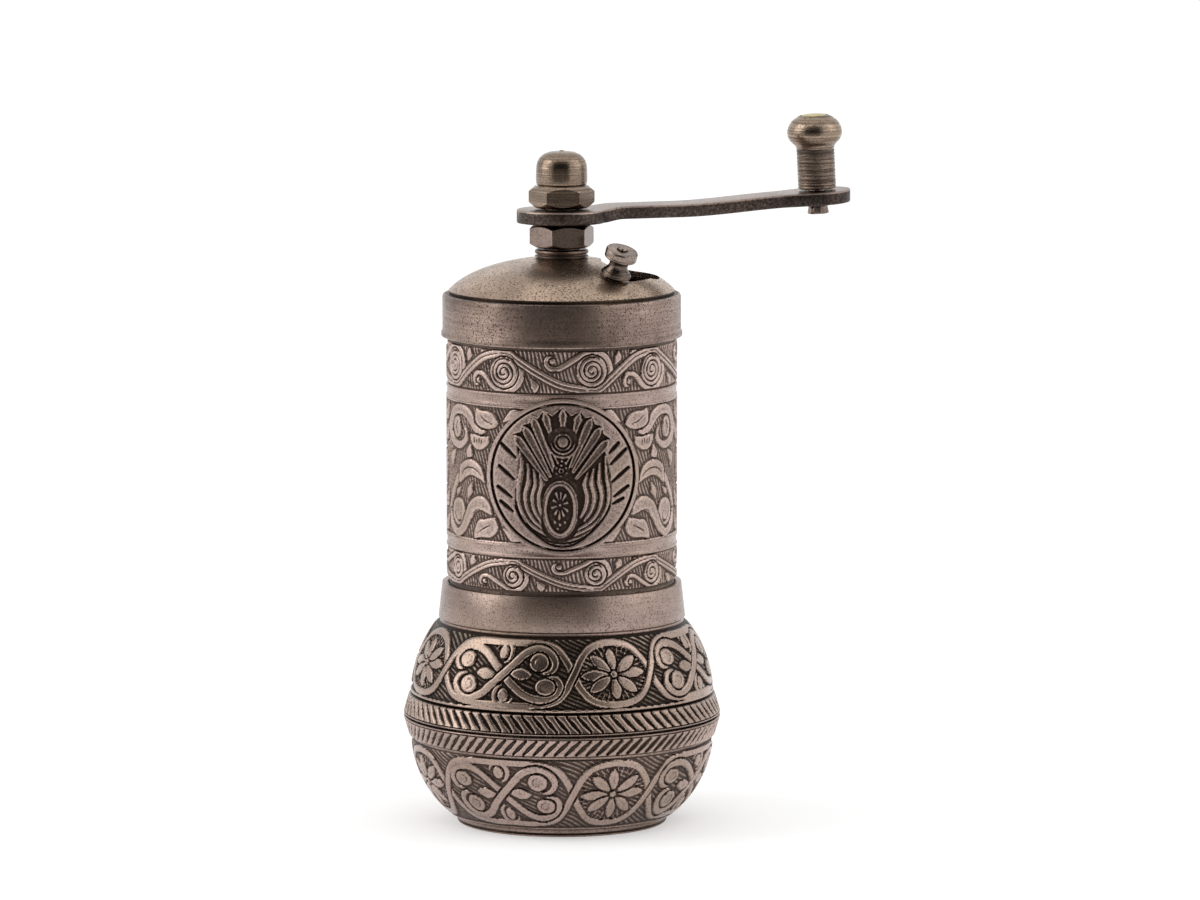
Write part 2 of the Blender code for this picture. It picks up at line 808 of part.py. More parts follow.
def acorn_nut():
    """Hexagon with a turned blind dome on top and a bore for the shaft's end."""
    nut = hexagon("acorn_nut", acorn_bottom, acorn_hex_top, acorn_turn, crank_group)
    boolean(nut, chamfer_blank("acorn_cones", acorn_bottom, acorn_hex_top, crank_group), "INTERSECT")
    centre = (acorn_radius - acorn_round, acorn_top - acorn_round)
    profile = [(0, acorn_top)]
    profile += round_points(centre, acorn_round, pi / 2, 0, 5)
    profile += [(acorn_radius, acorn_bottom + acorn_hex_height / 2), (0, acorn_bottom + acorn_hex_height / 2)]
    boolean(nut, turned_cutter("acorn_crown", profile, crank_group, 32), "UNION")
    bore = cylinder_cutter(
        "acorn_bore", shaft_radius + seat_gap, acorn_bottom - seat_gap,
        acorn_top - acorn_wall + seat_gap, crank_group)
    boolean(nut, bore, "DIFFERENCE")
    settle(nut)
    dress(nut, (0.42, 0.33, 0.24), 0.30)


def blend(t):
    """Smooth step from 0 to 1."""
    t = min(max(t, 0.0), 1.0)
    return t * t * (3 - 2 * t)


def arm_height(x):
    """Middle of the arm along its length: a short step off the boss, a slow climb, a straight end."""
    straight_from = crank_radius - arm_end_radius
    straight_z = arm_rise - arm_end_radius * sin(arm_end_slope)
    climb_from = crank_radius / 2 - arm_end_radius / 2
    middle = arm_bottom + arm_thickness / 2
    if x > straight_from:
        return middle + straight_z + (x - straight_from) * sin(arm_end_slope)
    step = arm_step * blend((x - boss_radius * 0.7) / (boss_radius * 0.6))
    climb = (straight_z - arm_step) * blend_to_slope((x - climb_from) / (straight_from - climb_from))
    return middle + step + climb


def blend_to_slope(t):
    """Rise from 0 to 1 that starts level and ends at half the steepest slope."""
    t = min(max(t, 0.0), 1.0)
    return t * t * (2.4 - 1.4 * t)


def arm_width(x):
    """Half width in plan: a disc at each end, and a bar between them that swells into both."""
    if x < boss_radius * 0.8:
        return sqrt(max(boss_radius ** 2 - x * x, 0.0))
    if x > crank_radius - arm_end_radius * 0.5:
        return sqrt(max(arm_end_radius ** 2 - (x - crank_radius) ** 2, 0.0))
    boss_join = sqrt(boss_radius ** 2 - (boss_radius * 0.8) ** 2)
    end_join = sqrt(arm_end_radius ** 2 - (arm_end_radius * 0.5) ** 2)
    near = (x - boss_radius * 0.8) / (boss_radius * 0.7)
    far = (crank_radius - arm_end_radius * 0.5 - x) / (arm_end_radius * 1.2)
    bar = arm_half_width
    return (bar + (boss_join - bar) * (1 - blend(near)) ** 2
            + (end_join - bar) * (1 - blend(far)) ** 2)


def arm_section(x, half_width, half_thickness):
    """Eight-sided section: a flat bar with its long edges chamfered."""
    z = arm_height(x)
    corner = min(arm_chamfer, half_width * 0.6)
    inner = half_width - corner
    upper = half_thickness - min(arm_chamfer, half_thickness * 0.6)
    return [
        (x, -half_width, z - upper),
        (x, -inner, z - half_thickness),
        (x, inner, z - half_thickness),
        (x, half_width, z - upper),
        (x, half_width, z + upper),
        (x, inner, z + half_thickness),
        (x, -inner, z + half_thickness),
        (x, -half_width, z + upper),
    ]


def crank_arm():
    """Pressed bar: lofted along its length from the boss round the shaft to the disc under the knob."""
    boss_turns = [radians(a) for a in (168, 150, 132, 114, 96, 78, 60, 48, 37)]
    stations = [boss_radius * cos(a) for a in boss_turns]
    start = boss_radius * 0.8
    end = crank_radius - arm_end_radius * 0.5
    stations += spread(start, end, 16)[1:]
    stations += [crank_radius + arm_end_radius * cos(radians(a)) for a in (100, 80, 60, 42, 26, 12)]
    half = arm_thickness / 2
    rings = [arm_section(x, arm_width(x), half) for x in stations]
    tip_half = half - arm_chamfer
    rings.insert(0, arm_section(-boss_radius, arm_width(stations[0]) * 0.6, tip_half))
    rings.append(arm_section(crank_radius + arm_end_radius, arm_width(stations[-1]) * 0.6, tip_half))
    arm = loft("crank_arm", rings, crank_group)
    bore = cylinder_cutter(
        "arm_bore", shaft_radius + seat_gap, arm_bottom - arm_thickness, arm_top + arm_thickness, crank_group)
    boolean(arm, bore, "DIFFERENCE")
    pin_bore = cylinder_cutter(
        "arm_pin_bore", pin_radius + seat_gap, -knob_height, knob_height, pin_group, pin_steps)
    boolean(arm, pin_bore, "DIFFERENCE")
    settle(arm)
    dress(arm, (0.38, 0.33, 0.29), 0.36)


def crank_knob():
    """Turned knob: ringed stem and flattened ball, bored through and sunk on top for the rivet's head."""
    top = knob_height
    bore = pin_radius + running_gap
    sink = pin_cap_radius + running_gap
    stem_top = top - knob_head_height
    profile = [(sink, top), (knob_flat_radius, top)]
    shoulder = top - knob_head_height * 0.12
    widest = top - knob_head_height * 0.55
    tuck = stem_top + knob_head_height * 0.06
    profile += [
        (knob_head_radius * 0.84, shoulder),
        (knob_head_radius * 0.95, (shoulder + widest) / 2 + knob_head_height * 0.06),
        (knob_head_radius, widest + knob_head_height * 0.08),
        (knob_head_radius, widest - knob_head_height * 0.05),
        (knob_head_radius * 0.93, (widest + tuck) / 2),
        (knob_stem_radius * 1.12, tuck),
        (knob_stem_radius, stem_top),
    ]
    pitch = (stem_top - seat_gap) / (knob_rings + 1)
    for i in range(knob_rings):
        z = stem_top - pitch * (i + 0.7)
        profile += [
            (knob_stem_radius, z + knob_ring_depth),
            (knob_stem_radius - knob_ring_depth, z),
            (knob_stem_radius, z - knob_ring_depth),
        ]
    profile += [
        (knob_stem_radius, seat_gap + pitch * 0.3),
        (knob_stem_radius - knob_ring_depth, seat_gap),
        (bore, seat_gap),
        (bore, top - pin_cap_height - running_gap),
        (sink, top - pin_cap_height - running_gap),
    ]
    knob = turned("crank_knob", profile, knob_group, small_steps)
    settle(knob)
    dress(knob, (0.42, 0.33, 0.24), 0.30)

    under = -arm_thickness - seat_gap
    pin = turned("knob_rivet", [
        (0, top),
        (pin_cap_radius - fine_edge, top),
        (pin_cap_radius, top - fine_edge),
        (pin_cap_radius, top - pin_cap_height),
        (pin_radius, top - pin_cap_height),
        (pin_radius, under),
        (pin_head_radius, under),
        (pin_head_radius, under - pin_head_height + edge_break),
        (pin_head_radius - edge_break, under - pin_head_height),
        (0, under - pin_head_height),
    ], pin_group, pin_steps)
    settle(pin)
    dress(pin, (0.55, 0.50, 0.20), 0.35)


def inner_burr():
    """Cone with coarse helical blades that fade into fine teeth at its wide end, on the square shaft."""
    tip = cavity_bottom_radius - burr_gap
    rings = [toothed_ring(cone_bottom - cone_skirt, tip - fine_step() * 2, 0, 0, 0)]
    rings.append(toothed_ring(cone_bottom - cone_skirt / 3, tip - fine_step() / 2, 0, 0, 0))
    for i in range(burr_levels + 1):
        t = i / burr_levels
        radius = tip + (cone_top_radius - tip) * t
        fine = fine_step() * (1 - blend(t * 2.2))
        coarse = cone_tooth * blend(t * 1.8)
        rings.append(toothed_ring(cone_bottom + cone_height * t, radius, coarse, fine, cone_twist * t))
    burr = loft("inner_burr", rings, burr_group)
    bore_half = square_half + seat_gap
    bore = box("burr_square", bore_half * 2, bore_half * 2, cone_height * 4,
               (0, 0, cone_bottom), burr_group)
    boolean(burr, as_cutter(bore), "DIFFERENCE")
    settle(burr, radians(20))
    dress(burr, (0.34, 0.34, 0.35), 0.38)


def fine_step():
    """Depth of the fine teeth, a fixed part of their pitch at the wide end."""
    return cavity_tooth * 0.6


def outer_burr():
    """Flanged ring with a conical cavity, toothed the other way, held up against the bell's web."""
    body = turned("outer_burr", [
        (0, burr_top),
        (burr_body_radius, burr_top),
        (burr_body_radius, flange_top),
        (flange_radius, flange_top),
        (flange_radius, flange_bottom),
        (burr_body_radius, flange_bottom),
        (burr_body_radius - burr_drop / 3, burr_bottom),
        (0, burr_bottom),
    ], mill_group)
    height = burr_top - burr_bottom
    rings = []
    for t in spread(-cavity_overrun, 1 + cavity_overrun, burr_levels):
        radius = cavity_bottom_radius + (cavity_top_radius - cavity_bottom_radius) * t
        fine = fine_step() * (1 - blend(t * 2.2))
        coarse = cavity_tooth * blend(t * 1.8)
        rings.append(toothed_ring(
            burr_bottom + height * t, radius, coarse, fine, cavity_twist * t, inwards=True))
    cavity = as_cutter(loft("burr_cavity", rings, mill_group, cutters))
    boolean(body, cavity, "DIFFERENCE")
    for i in range(screw_count):
        boolean(body, screw_hole(i, "burr"), "DIFFERENCE")
    settle(body, radians(20))
    dress(body, (0.36, 0.36, 0.37), 0.42)


def burr_screws():
    """Three pan-head screws that pull the outer burr's flange up to the bell's web."""
    head_top = flange_bottom - seat_gap
    for i in range(screw_count):
        screw = turned(f"burr_screw_{i + 1}", [
            (0, web_top - seat_gap),
            (screw_radius - fine_edge, web_top - seat_gap),
            (screw_radius, web_top - seat_gap - fine_edge),
            (screw_radius, head_top),
            (screw_head_radius, head_top),
            (screw_head_radius, head_top - screw_head_height / 2),
            (screw_head_radius * 0.7, head_top - screw_head_height),
            (0, head_top - screw_head_height),
        ], mill_group, pin_steps)
        screw.matrix_local = screw_place(i)
        settle(screw)
        dress(screw, (0.60, 0.58, 0.54), 0.32)


def bearing_cage():
    """Cage pressed over the outer burr: a rim, three arms and a hub that steadies the shaft."""
    inner = burr_body_radius + seat_gap
    outer = inner + cage_wall
    rim_inner = cavity_top_radius + cavity_tooth + seat_gap * 2
    rim_top = cage_bottom + cage_rim_height
    cage = turned("bearing_cage", [
        (outer - edge_break, rim_top),
        (outer, rim_top - edge_break),
        (outer, burr_top - cage_lap),
        (inner, burr_top - cage_lap),
        (inner, cage_bottom),
        (rim_inner, cage_bottom),
        (rim_inner, rim_top),
    ], mill_group)
    hub = turned_cutter("cage_hub", [
        (0, cage_bottom + hub_height),
        (hub_radius - edge_break, cage_bottom + hub_height),
        (hub_radius, cage_bottom + hub_height - edge_break),
        (hub_radius, cage_bottom),
        (0, cage_bottom),
    ], mill_group, small_steps)
    reach = (rim_inner + outer) / 2
    for i in range(cage_arms):
        arm = box(f"cage_arm_{i + 1}", reach, cage_arm_width, cage_rim_height * 0.9,
                  (reach / 2, 0, cage_bottom + cage_rim_height / 2), mill_group,
                  2 * pi * i / cage_arms)
        boolean(hub, as_cutter(arm), "UNION")
    boolean(cage, hub, "UNION")
    bore = cylinder_cutter(
        "cage_bore", shaft_radius + running_gap, cage_bottom - hub_height,
        cage_bottom + hub_height * 2, mill_group)
    boolean(cage, bore, "DIFFERENCE")
    settle(cage)
    dress(cage, (0.50, 0.48, 0.45), 0.45)


def burr_spring():
    """Compression spring on the shaft: one helix from the burr up to the thrust washer."""
    low = cone_top + seat_gap + spring_wire / 2
    high = cage_bottom - seat_gap * 2 - thrust_washer_height - spring_wire / 2
    count = spring_turns * spring_points
    points = []
    for i in range(count + 1):
        t = i / count
        angle = 2 * pi * spring_turns * t
        z = low + (high - low) * t
        points.append(Vector((spring_radius * cos(angle), spring_radius * sin(angle), z)))
    clear = min(
        (points[i] - points[j]).length
        for i in range(len(points)) for j in range(i + spring_points - 1, len(points))
    ) - spring_wire
    print("least gap between the spring's coils, mm:", round(clear / MM, 2))
    curve = bpy.data.curves.new("burr_spring", "CURVE")
    curve.dimensions = "3D"
    curve.bevel_depth = spring_wire / 2
    curve.bevel_resolution = 1
    curve.use_fill_caps = True
    spline = curve.splines.new("POLY")
    spline.points.add(len(points) - 1)
    for point, place in zip(spline.points, points):
        point.co = (*place, 1)
    spring = add("burr_spring", curve, crank_group)
    curve.materials.append(finish("burr_spring", (0.62, 0.60, 0.56), 0.28))
    washer_low = high + spring_wire / 2 + seat_gap
    inner = shaft_radius + running_gap
    washer = turned("thrust_washer", [
        (thrust_washer_radius, washer_low + thrust_washer_height),
        (thrust_washer_radius, washer_low),
        (inner, washer_low),
        (inner, washer_low + thrust_washer_height),
    ], crank_group, small_steps)
    settle(washer)
    dress(washer, (0.58, 0.56, 0.52), 0.34)


def adjusting_nut():
    """Finger nut under the burr: a fluted disc bored for the shaft's thread."""
    outline = []
    samples = 8
    for i in range(adjuster_flutes * samples):
        angle = 2 * pi * i / (adjuster_flutes * samples)
        wave = (1 - cos(adjuster_flutes * angle)) / 2
        radius = adjuster_radius - adjuster_flute_radius * wave ** 3
        outline.append((radius * cos(angle), radius * sin(angle)))
    nut = prism("adjusting_nut", outline, adjuster_bottom, adjuster_top, adjuster_group)
    bevel = nut.modifiers.new("edge", "BEVEL")
    bevel.width = edge_break
    bevel.segments = 1
    bevel.limit_method = "ANGLE"
    bevel.angle_limit = radians(60)
    bore = cylinder_cutter(
        "adjuster_bore", thread_radius + running_gap, adjuster_bottom - seat_gap,
        adjuster_top + seat_gap, adjuster_group)
    boolean(nut, bore, "DIFFERENCE")
    settle(nut)
    dress(nut, (0.52, 0.46, 0.34), 0.34)


# The pin stands square to the arm's end, with its zero height on the arm's upper face
pin_seat = (crank_radius - arm_thickness / 2 * sin(arm_end_slope), 0,
            arm_bottom + arm_thickness / 2 + arm_rise + arm_thickness / 2 * cos(arm_end_slope))
pin_group = group("knob_pin", crank_group, pin_seat, (0, -arm_end_slope, 0))
knob_group = group("knob_axis", pin_group)

lower_bowl()
upper_bell()
hopper_tube()
cap()
bushing()
shutter()
shaft()
lower_nut()
crank_arm()
acorn_nut()
crank_knob()
outer_burr()
burr_screws()
bearing_cage()
inner_burr()
burr_spring()
adjusting_nut()

bpy.context.view_layer.update()
print("knob axis at", [round(v / MM, 4) for v in knob_group.matrix_world.translation],
      "towards", [round(v, 5) for v in knob_group.matrix_world.col[2][:3]])
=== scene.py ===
"""A hand-cranked spice mill in antique plate: relief chased on its castings, plain metal turned and pressed."""

from math import atan2, cos, pi, radians, sin, sqrt

import bpy
import numpy as np
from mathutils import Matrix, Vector


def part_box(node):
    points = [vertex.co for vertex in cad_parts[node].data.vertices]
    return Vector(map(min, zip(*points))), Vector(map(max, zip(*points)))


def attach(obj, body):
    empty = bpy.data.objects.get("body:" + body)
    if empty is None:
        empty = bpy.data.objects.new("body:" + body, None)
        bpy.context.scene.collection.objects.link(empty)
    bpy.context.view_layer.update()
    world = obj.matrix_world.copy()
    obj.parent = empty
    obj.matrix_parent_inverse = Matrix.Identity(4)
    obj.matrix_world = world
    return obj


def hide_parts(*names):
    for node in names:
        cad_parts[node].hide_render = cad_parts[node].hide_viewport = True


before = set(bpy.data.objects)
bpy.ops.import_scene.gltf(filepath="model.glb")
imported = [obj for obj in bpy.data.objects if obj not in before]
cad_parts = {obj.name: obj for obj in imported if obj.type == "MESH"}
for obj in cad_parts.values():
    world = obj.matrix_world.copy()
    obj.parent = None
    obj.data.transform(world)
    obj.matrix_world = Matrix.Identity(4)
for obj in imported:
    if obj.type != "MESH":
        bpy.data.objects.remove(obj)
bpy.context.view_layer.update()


# Lower bowl: a zinc casting, antique plated, then rubbed so that the dark plate stays in the hollows.
# The inside is plain. Outside it carries a foot ring, a frieze and a band of rope strokes.
# The relief is chased flat on a sheet of fine mesh, which is then rolled round the casting.

MM = 0.001
SHARP = radians(35)
RELIEF = 0.42
PLATE_TOP = (0.425, 0.318, 0.276)
PLATE_LOW = (0.050, 0.033, 0.027)


def put_down():
    """Leave edit mode and let go of every object."""
    if bpy.context.object and bpy.context.object.mode != "OBJECT":
        bpy.ops.object.mode_set(mode="OBJECT")
    bpy.ops.object.select_all(action="DESELECT")


def take(piece):
    """Make a piece the one being worked on."""
    put_down()
    piece.select_set(True)
    bpy.context.view_layer.objects.active = piece


def fresh(adding, name, **given):
    """Add a new object by its operator, with nothing else held, and name it."""
    put_down()
    adding(**given)
    bpy.context.object.name = name
    return bpy.context.object


def work(piece, kind, **settings):
    """Put a modifier on a piece and apply it, then shade the faces between sharp edges smooth."""
    take(piece)
    step = piece.modifiers.new(kind.lower(), kind)
    for name, value in settings.items():
        setattr(step, name, value)
    bpy.ops.object.modifier_apply(modifier=step.name)
    bpy.ops.object.shade_smooth_by_angle(angle=SHARP)


def soften(piece, width, limit=30):
    """Break the sharp edges with a small bevel."""
    work(piece, "BEVEL", width=width * MM, segments=2, limit_method="ANGLE", angle_limit=radians(limit))


def seal():
    """Merge the points that meet, turn the faces outwards and leave edit mode."""
    bpy.ops.mesh.select_all(action="SELECT")
    bpy.ops.mesh.remove_doubles(threshold=0.001 * MM)
    bpy.ops.mesh.normals_make_consistent(inside=False)
    bpy.ops.object.mode_set(mode="OBJECT")


def turn(name, outline, steps=144, edge=0.12):
    """Turn a piece on the mill's axis: a point is drawn along the outline, and the line is spun round."""
    piece = fresh(bpy.ops.mesh.primitive_plane_add, name, size=MM, location=(0, 0, 0))
    bpy.ops.object.mode_set(mode="EDIT")
    bpy.ops.mesh.merge(type="CENTER")
    bpy.ops.transform.translate(value=(outline[0][0] * MM, 0, outline[0][1] * MM))
    for (r0, z0), (r1, z1) in zip(outline, outline[1:]):
        step = ((r1 - r0) * MM, 0, (z1 - z0) * MM)
        bpy.ops.mesh.extrude_region_move(TRANSFORM_OT_translate={"value": step})
    bpy.ops.mesh.select_all(action="SELECT")
    bpy.ops.mesh.spin(steps=steps, angle=2 * pi, center=(0, 0, 0), axis=(0, 0, 1))
    seal()
    if edge:
        soften(piece, edge)
    else:
        bpy.ops.object.shade_smooth_by_angle(angle=SHARP)
    return piece


def swell(low, high, sagitta):
    """Radius at each height of a wall that bows outwards between two (radius, height) points."""
    run = high[0] - low[0]
    rise = high[1] - low[1]
    chord = sqrt(run * run + rise * rise)
    circle = (chord * chord / 4 + sagitta * sagitta) / (2 * sagitta)
    reach = circle - sagitta
    centre = ((low[0] + high[0]) / 2 - reach * rise / chord, (low[1] + high[1]) / 2 + reach * run / chord)
    return lambda z, inset=0.0: centre[0] + sqrt((circle - inset) ** 2 - (z - centre[1]) ** 2)


def follow(wall, inset, start, end, count=6):
    """Points of an outline that lie a little inside a wall, from one height to another."""
    return [(wall(z, inset), z) for z in np.linspace(start, end, count)]


def measured(level, *points):
    """Points of an outline whose heights are measured from a level."""
    return [(r, level + z) for r, z in points]


class Sheet:
    """Metal laid flat to be chased, in millimetres: its rows, its spots and how high each spot stands.

    A spot is a complex number. Its real part runs round the piece and its imaginary part up it.
    """

    def __init__(self, across, rows, girth=0.0):
        self.rows, self.girth = rows, girth
        self.spots = (across[None, :] + 1j * rows[:, None]).ravel()
        self.face = np.zeros(len(self.spots))

    def beside(self, line, reach):
        """The spots near a line: their numbers, and their places on the line's side of the seam."""
        spots = self.spots
        if self.girth:
            middle = (line.real.min() + line.real.max()) / 2
            spots = spots - self.girth * np.round((spots.real - middle) / self.girth)
        inside = (spots.real > line.real.min() - reach) & (spots.real < line.real.max() + reach)
        inside &= (spots.imag > line.imag.min() - reach) & (spots.imag < line.imag.max() + reach)
        found = np.flatnonzero(inside)
        return found, spots[found]

    def gauge(self, line, widths, soft):
        """How far the spots near a tapering line lie outside its edge, less than nothing within it."""
        line, widths = np.asarray(line), np.atleast_1d(widths)
        widths = np.interp(np.linspace(0, 1, len(line)), np.linspace(0, 1, len(widths)), widths)
        found, spots = self.beside(line, widths.max() + soft)
        outside = np.full(len(found), 9.0)
        for a, b, wide_a, wide_b in zip(line, line[1:], widths, widths[1:]):
            along = b - a
            part = np.clip(((spots - a) * along.conjugate()).real / max(abs(along) ** 2, 1e-9), 0, 1)
            outside = np.minimum(outside, abs(spots - a - part * along) - wide_a - (wide_b - wide_a) * part)
        return found, outside

    def lift(self, line, widths, height=1.0, soft=0.16):
        """Raise a flat-topped stroke to a height, with rounded edges."""
        found, outside = self.gauge(line, widths, soft)
        self.face[found] = np.maximum(self.face[found], height * shade(-outside / soft))

    def cut(self, line, widths, depth=0.5, soft=0.12):
        """Sink a stroke into what stands there."""
        found, outside = self.gauge(line, widths, soft)
        self.face[found] -= depth * shade(-outside / soft)

    def ledge(self, low, high, height, soft=0.14):
        """Raise a plain fillet that runs right round."""
        up = self.spots.imag
        inside = shade((up - low) / soft) * shade((high - up) / soft)
        self.face = np.maximum(self.face, height * inside)

    def blend(self, part, level, found=slice(None)):
        """Bring spots a part of the way to a level."""
        self.face[found] = self.face[found] * (1 - part) + level * part

    def clear(self, line, widths, level=0.1):
        """Take a stroke down to the ground."""
        found, outside = self.gauge(line, widths, 0.16)
        self.blend(shade(-outside / 0.16), level, found)

    def over(self, line, widths, moat, height=1.0):
        """Raise a stroke that passes over others, with a narrow moat cut along both its sides."""
        self.clear(line, np.array(widths) + moat)
        self.lift(line, widths, height)

    def cross(self, line, width, moat=0.26):
        """Carry part of a stroke over another, with a moat that fades out at both its ends."""
        self.clear(line, (width - 0.12, width + moat, width + moat, width - 0.12))
        self.lift(line, width)

    def inside(self, outline):
        """How far each spot lies outside a closed line, less than nothing within it."""
        ring = np.append(outline, outline[0])
        found, near = self.gauge(ring, 0.02, 0.5)
        held, spots = self.beside(ring, 0.1)
        x, y = spots.real, spots.imag
        odd = np.zeros(len(held), bool)
        for a, b in zip(ring, ring[1:]):
            if abs(b.imag - a.imag) > 1e-9:
                spans = (a.imag > y) != (b.imag > y)
                odd ^= spans & (x < a.real + (y - a.imag) * (b.real - a.real) / (b.imag - a.imag))
        inner = np.zeros(len(self.spots), bool)
        inner[held] = odd
        away = np.full(len(self.spots), 9.0)
        away[found] = np.abs(near + 0.02)
        return np.where(inner, -away, away)

    def fill(self, outline, moat=0.0):
        """Raise everything inside a closed line, with a narrow moat round it if one is asked for."""
        away = self.inside(outline)
        if moat:
            self.blend(shade((moat - np.abs(away)) / 0.12), 0.08)
        self.face = np.maximum(self.face, shade(-away / 0.16))

    def ball(self, at, radius, height=1.0, soft=0.3):
        """A round boss."""
        self.lift((at, at + 0.01), radius, height, soft)

    def hatch(self, pitch, lean, depth, low, high):
        """Fine parallel cuts in the ground, which sway a little as they go round."""
        around, up = 2 * pi * self.spots.real / self.girth, self.spots.imag
        cuts = round(self.girth * cos(radians(lean)) / pitch)
        groove = np.sin(cuts * around + 2 * pi * up * sin(radians(lean)) / pitch
                        + 2.2 * np.sin(16 * around) * np.cos(0.8 * up))
        ground = (up > low) & (up < high)
        self.face[ground] += depth * (0.5 + 0.5 * groove[ground])


def shade(x):
    """Smooth step: 0 below -0.5, 1 above 0.5."""
    t = np.clip(np.asarray(x, float) + 0.5, 0, 1)
    return t * t * (3 - 2 * t)


def arc(centre, across, start, end, up=0.0, count=26):
    """Part of a circle, or of an ellipse where its height is given, between two angles in degrees."""
    turns = np.radians(np.linspace(start, end, count))
    return centre + across * np.cos(turns) + 1j * (up or across) * np.sin(turns)


def swirl(centre, outer, inner, start, turns, count=64):
    """A spiral that winds in from its outer end."""
    t = np.linspace(0, 1, count)
    return centre + (outer + (inner - outer) * t) * np.exp(1j * (radians(start) + 2 * pi * turns * t))


def through(*points, steps=7):
    """A smooth line through given points."""
    p = [2 * points[0] - points[1], *points, 2 * points[-1] - points[-2]]
    line = []
    for a, b, c, d in zip(p, p[1:], p[2:], p[3:]):
        for t in np.linspace(0, 1, steps, endpoint=False):
            line.append(0.5 * (2 * b + (c - a) * t + (2 * a - 5 * b + 4 * c - d) * t ** 2
                               + (3 * b - a - 3 * c + d) * t ** 3))
    line.append(points[-1])
    return np.array(line)


def rope(sheet, low, high, count, lean):
    """A band of slanting strokes: the metal between them is cut away."""
    sheet.ledge(low, high, 0.95)
    for i in range(count):
        at = sheet.girth * i / count
        gap = np.array([at - lean / 2 + 1j * (low + 0.22), at + 0.5j * (low + high),
                        at + lean / 2 + 1j * (high - 0.22)])
        sheet.cut(gap, (0.14, 0.29, 0.14), 1.0, 0.18)


DRAWN_WIDE = 34.5
STRAND = ((0, 0.9), (4.6, 0.9), (8.1, 0.78), (9.9, 0.42), (11.0, 0), (12.1, -0.42), (14.0, -0.78),
          (17.25, -0.9))
NEAR_HOOK = ((1.7, 0.34), (3.5, 0.64), (5.5, 0.75), (7.3, 0.63), (8.2, 0.38), (7.8, 0.15), (6.8, 0.06),
             (5.9, 0.1))
FAR_HOOK = ((1.7, -0.31), (3.7, -0.6), (5.9, -0.72), (7.9, -0.6), (8.9, -0.34), (8.5, -0.13), (7.6, -0.06),
            (6.7, -0.1))


def frieze(sheet, low, high, shift, broad):
    """Four knots and four eight-petalled rosettes by turns, bound in by two strands that cross between them."""
    rise = (high - low) / 2
    quarter = sheet.girth / 4
    sheet.hatch(0.62, 64, 0.42, low, high)
    for i in range(4):
        knot = (i + shift) * quarter + 0.5j * (low + high)

        def line(points, across=1, up=1):
            return through(*[knot + across * x * quarter / DRAWN_WIDE + 1j * up * y * rise for x, y in points])

        rosette(sheet, knot + quarter / 2, 0.163 * quarter, 0.9 * rise - 0.5)
        wave = STRAND + tuple((DRAWN_WIDE - x, y) for x, y in STRAND[-2::-1])
        for up in (1, -1):
            sheet.lift(line(wave, 1, up), 0.52)
        sheet.cross(line(STRAND[3:6], 1, -1), 0.52)
        sheet.cross(line([(DRAWN_WIDE - x, y) for x, y in STRAND[3:6]]), 0.52)
        for hook in (NEAR_HOOK, FAR_HOOK):
            band = line([(-x, -y) for x, y in hook[::-1]] + [(0, 0)] + list(hook))
            sheet.over(band, (0.1, 0.4) + (broad,) * 6 + (0.4, 0.1), 0.22)
        sheet.cross(line(((-2.4, -0.45), (0, 0), (2.4, 0.45))), broad)
        for way in (1, -1):
            for x, y, across, up in ((5.65, 0.37, 1.5, 1.35), (6.75, -0.34, 1.5, 1.2)):
                ball = knot + way * (x + 1j * y * rise)
                sheet.fill(arc(ball, across, 0, 360, up, 24), 0.2)
                crease = arc(ball, across * 0.5, way * 90, way * 90 + 200, up * 0.5, 12)
                sheet.cut(crease, (0.03, 0.07, 0.03), 0.3)
            sheet.over(line(((1.3, 0), (2.1, 0.03), (2.9, 0.02), (3.7, 0), (4.5, 0)), way, way),
                       (0.08, 0.62, 0.88, 0.62, 0.08), 0.2)
            oval = knot - way * (0.35 - 0.62j * rise)
            sheet.fill(arc(oval, 0.8, 0, 360, 1.0, 20))
            curl = oval + way * arc(0, 1.45, 165, -75, 1.55, 16)
            sheet.lift(curl, (0.1, 0.36, 0.4, 0.36, 0.1), 0.95)


def rosette(sheet, centre, across, up):
    """Eight petals round a boss, with short bright dashes in the ground between them."""

    def spoke(turn, *reaches):
        return np.array([centre + reach * (across * cos(turn) + 1j * up * sin(turn)) for reach in reaches])

    for k in range(40):
        sheet.lift(spoke(2 * pi * (k + 0.5) / 40, 0.68 + 0.14 * (k % 2), 0.98), 0.09, 0.7, 0.12)
    for k in range(8):
        petal = spoke(2 * pi * (k + 0.06 * (-1) ** k) / 8, *np.linspace(0.16, 0.9, 8))
        sheet.over(petal, (0.1, 0.44, 0.64, 0.76, 0.78, 0.68, 0.46, 0.1), 0.2)
    sheet.over(spoke(0, 0, 0.001), 0.5, 0.2, 1.1)


def wrap(name, places, stand, smooth=60):
    """A fine grid laid on rows of places and closed round: its seam is merged, and so are its poles."""
    rows, columns = places.shape[:2]
    piece = fresh(bpy.ops.mesh.primitive_grid_add, name, x_subdivisions=columns, y_subdivisions=rows - 1,
                  size=2)
    piece.data.vertices.foreach_set("co", np.hstack([places, places[:, :1]]).ravel() * MM)
    carved = piece.data.attributes.new("relief", "FLOAT", "POINT")
    carved.data.foreach_set("value", np.hstack([stand, stand[:, :1]]).ravel().astype(np.float32))
    piece.data.update()
    bpy.ops.object.mode_set(mode="EDIT")
    seal()
    bpy.ops.object.shade_smooth_by_angle(angle=radians(smooth))
    return piece


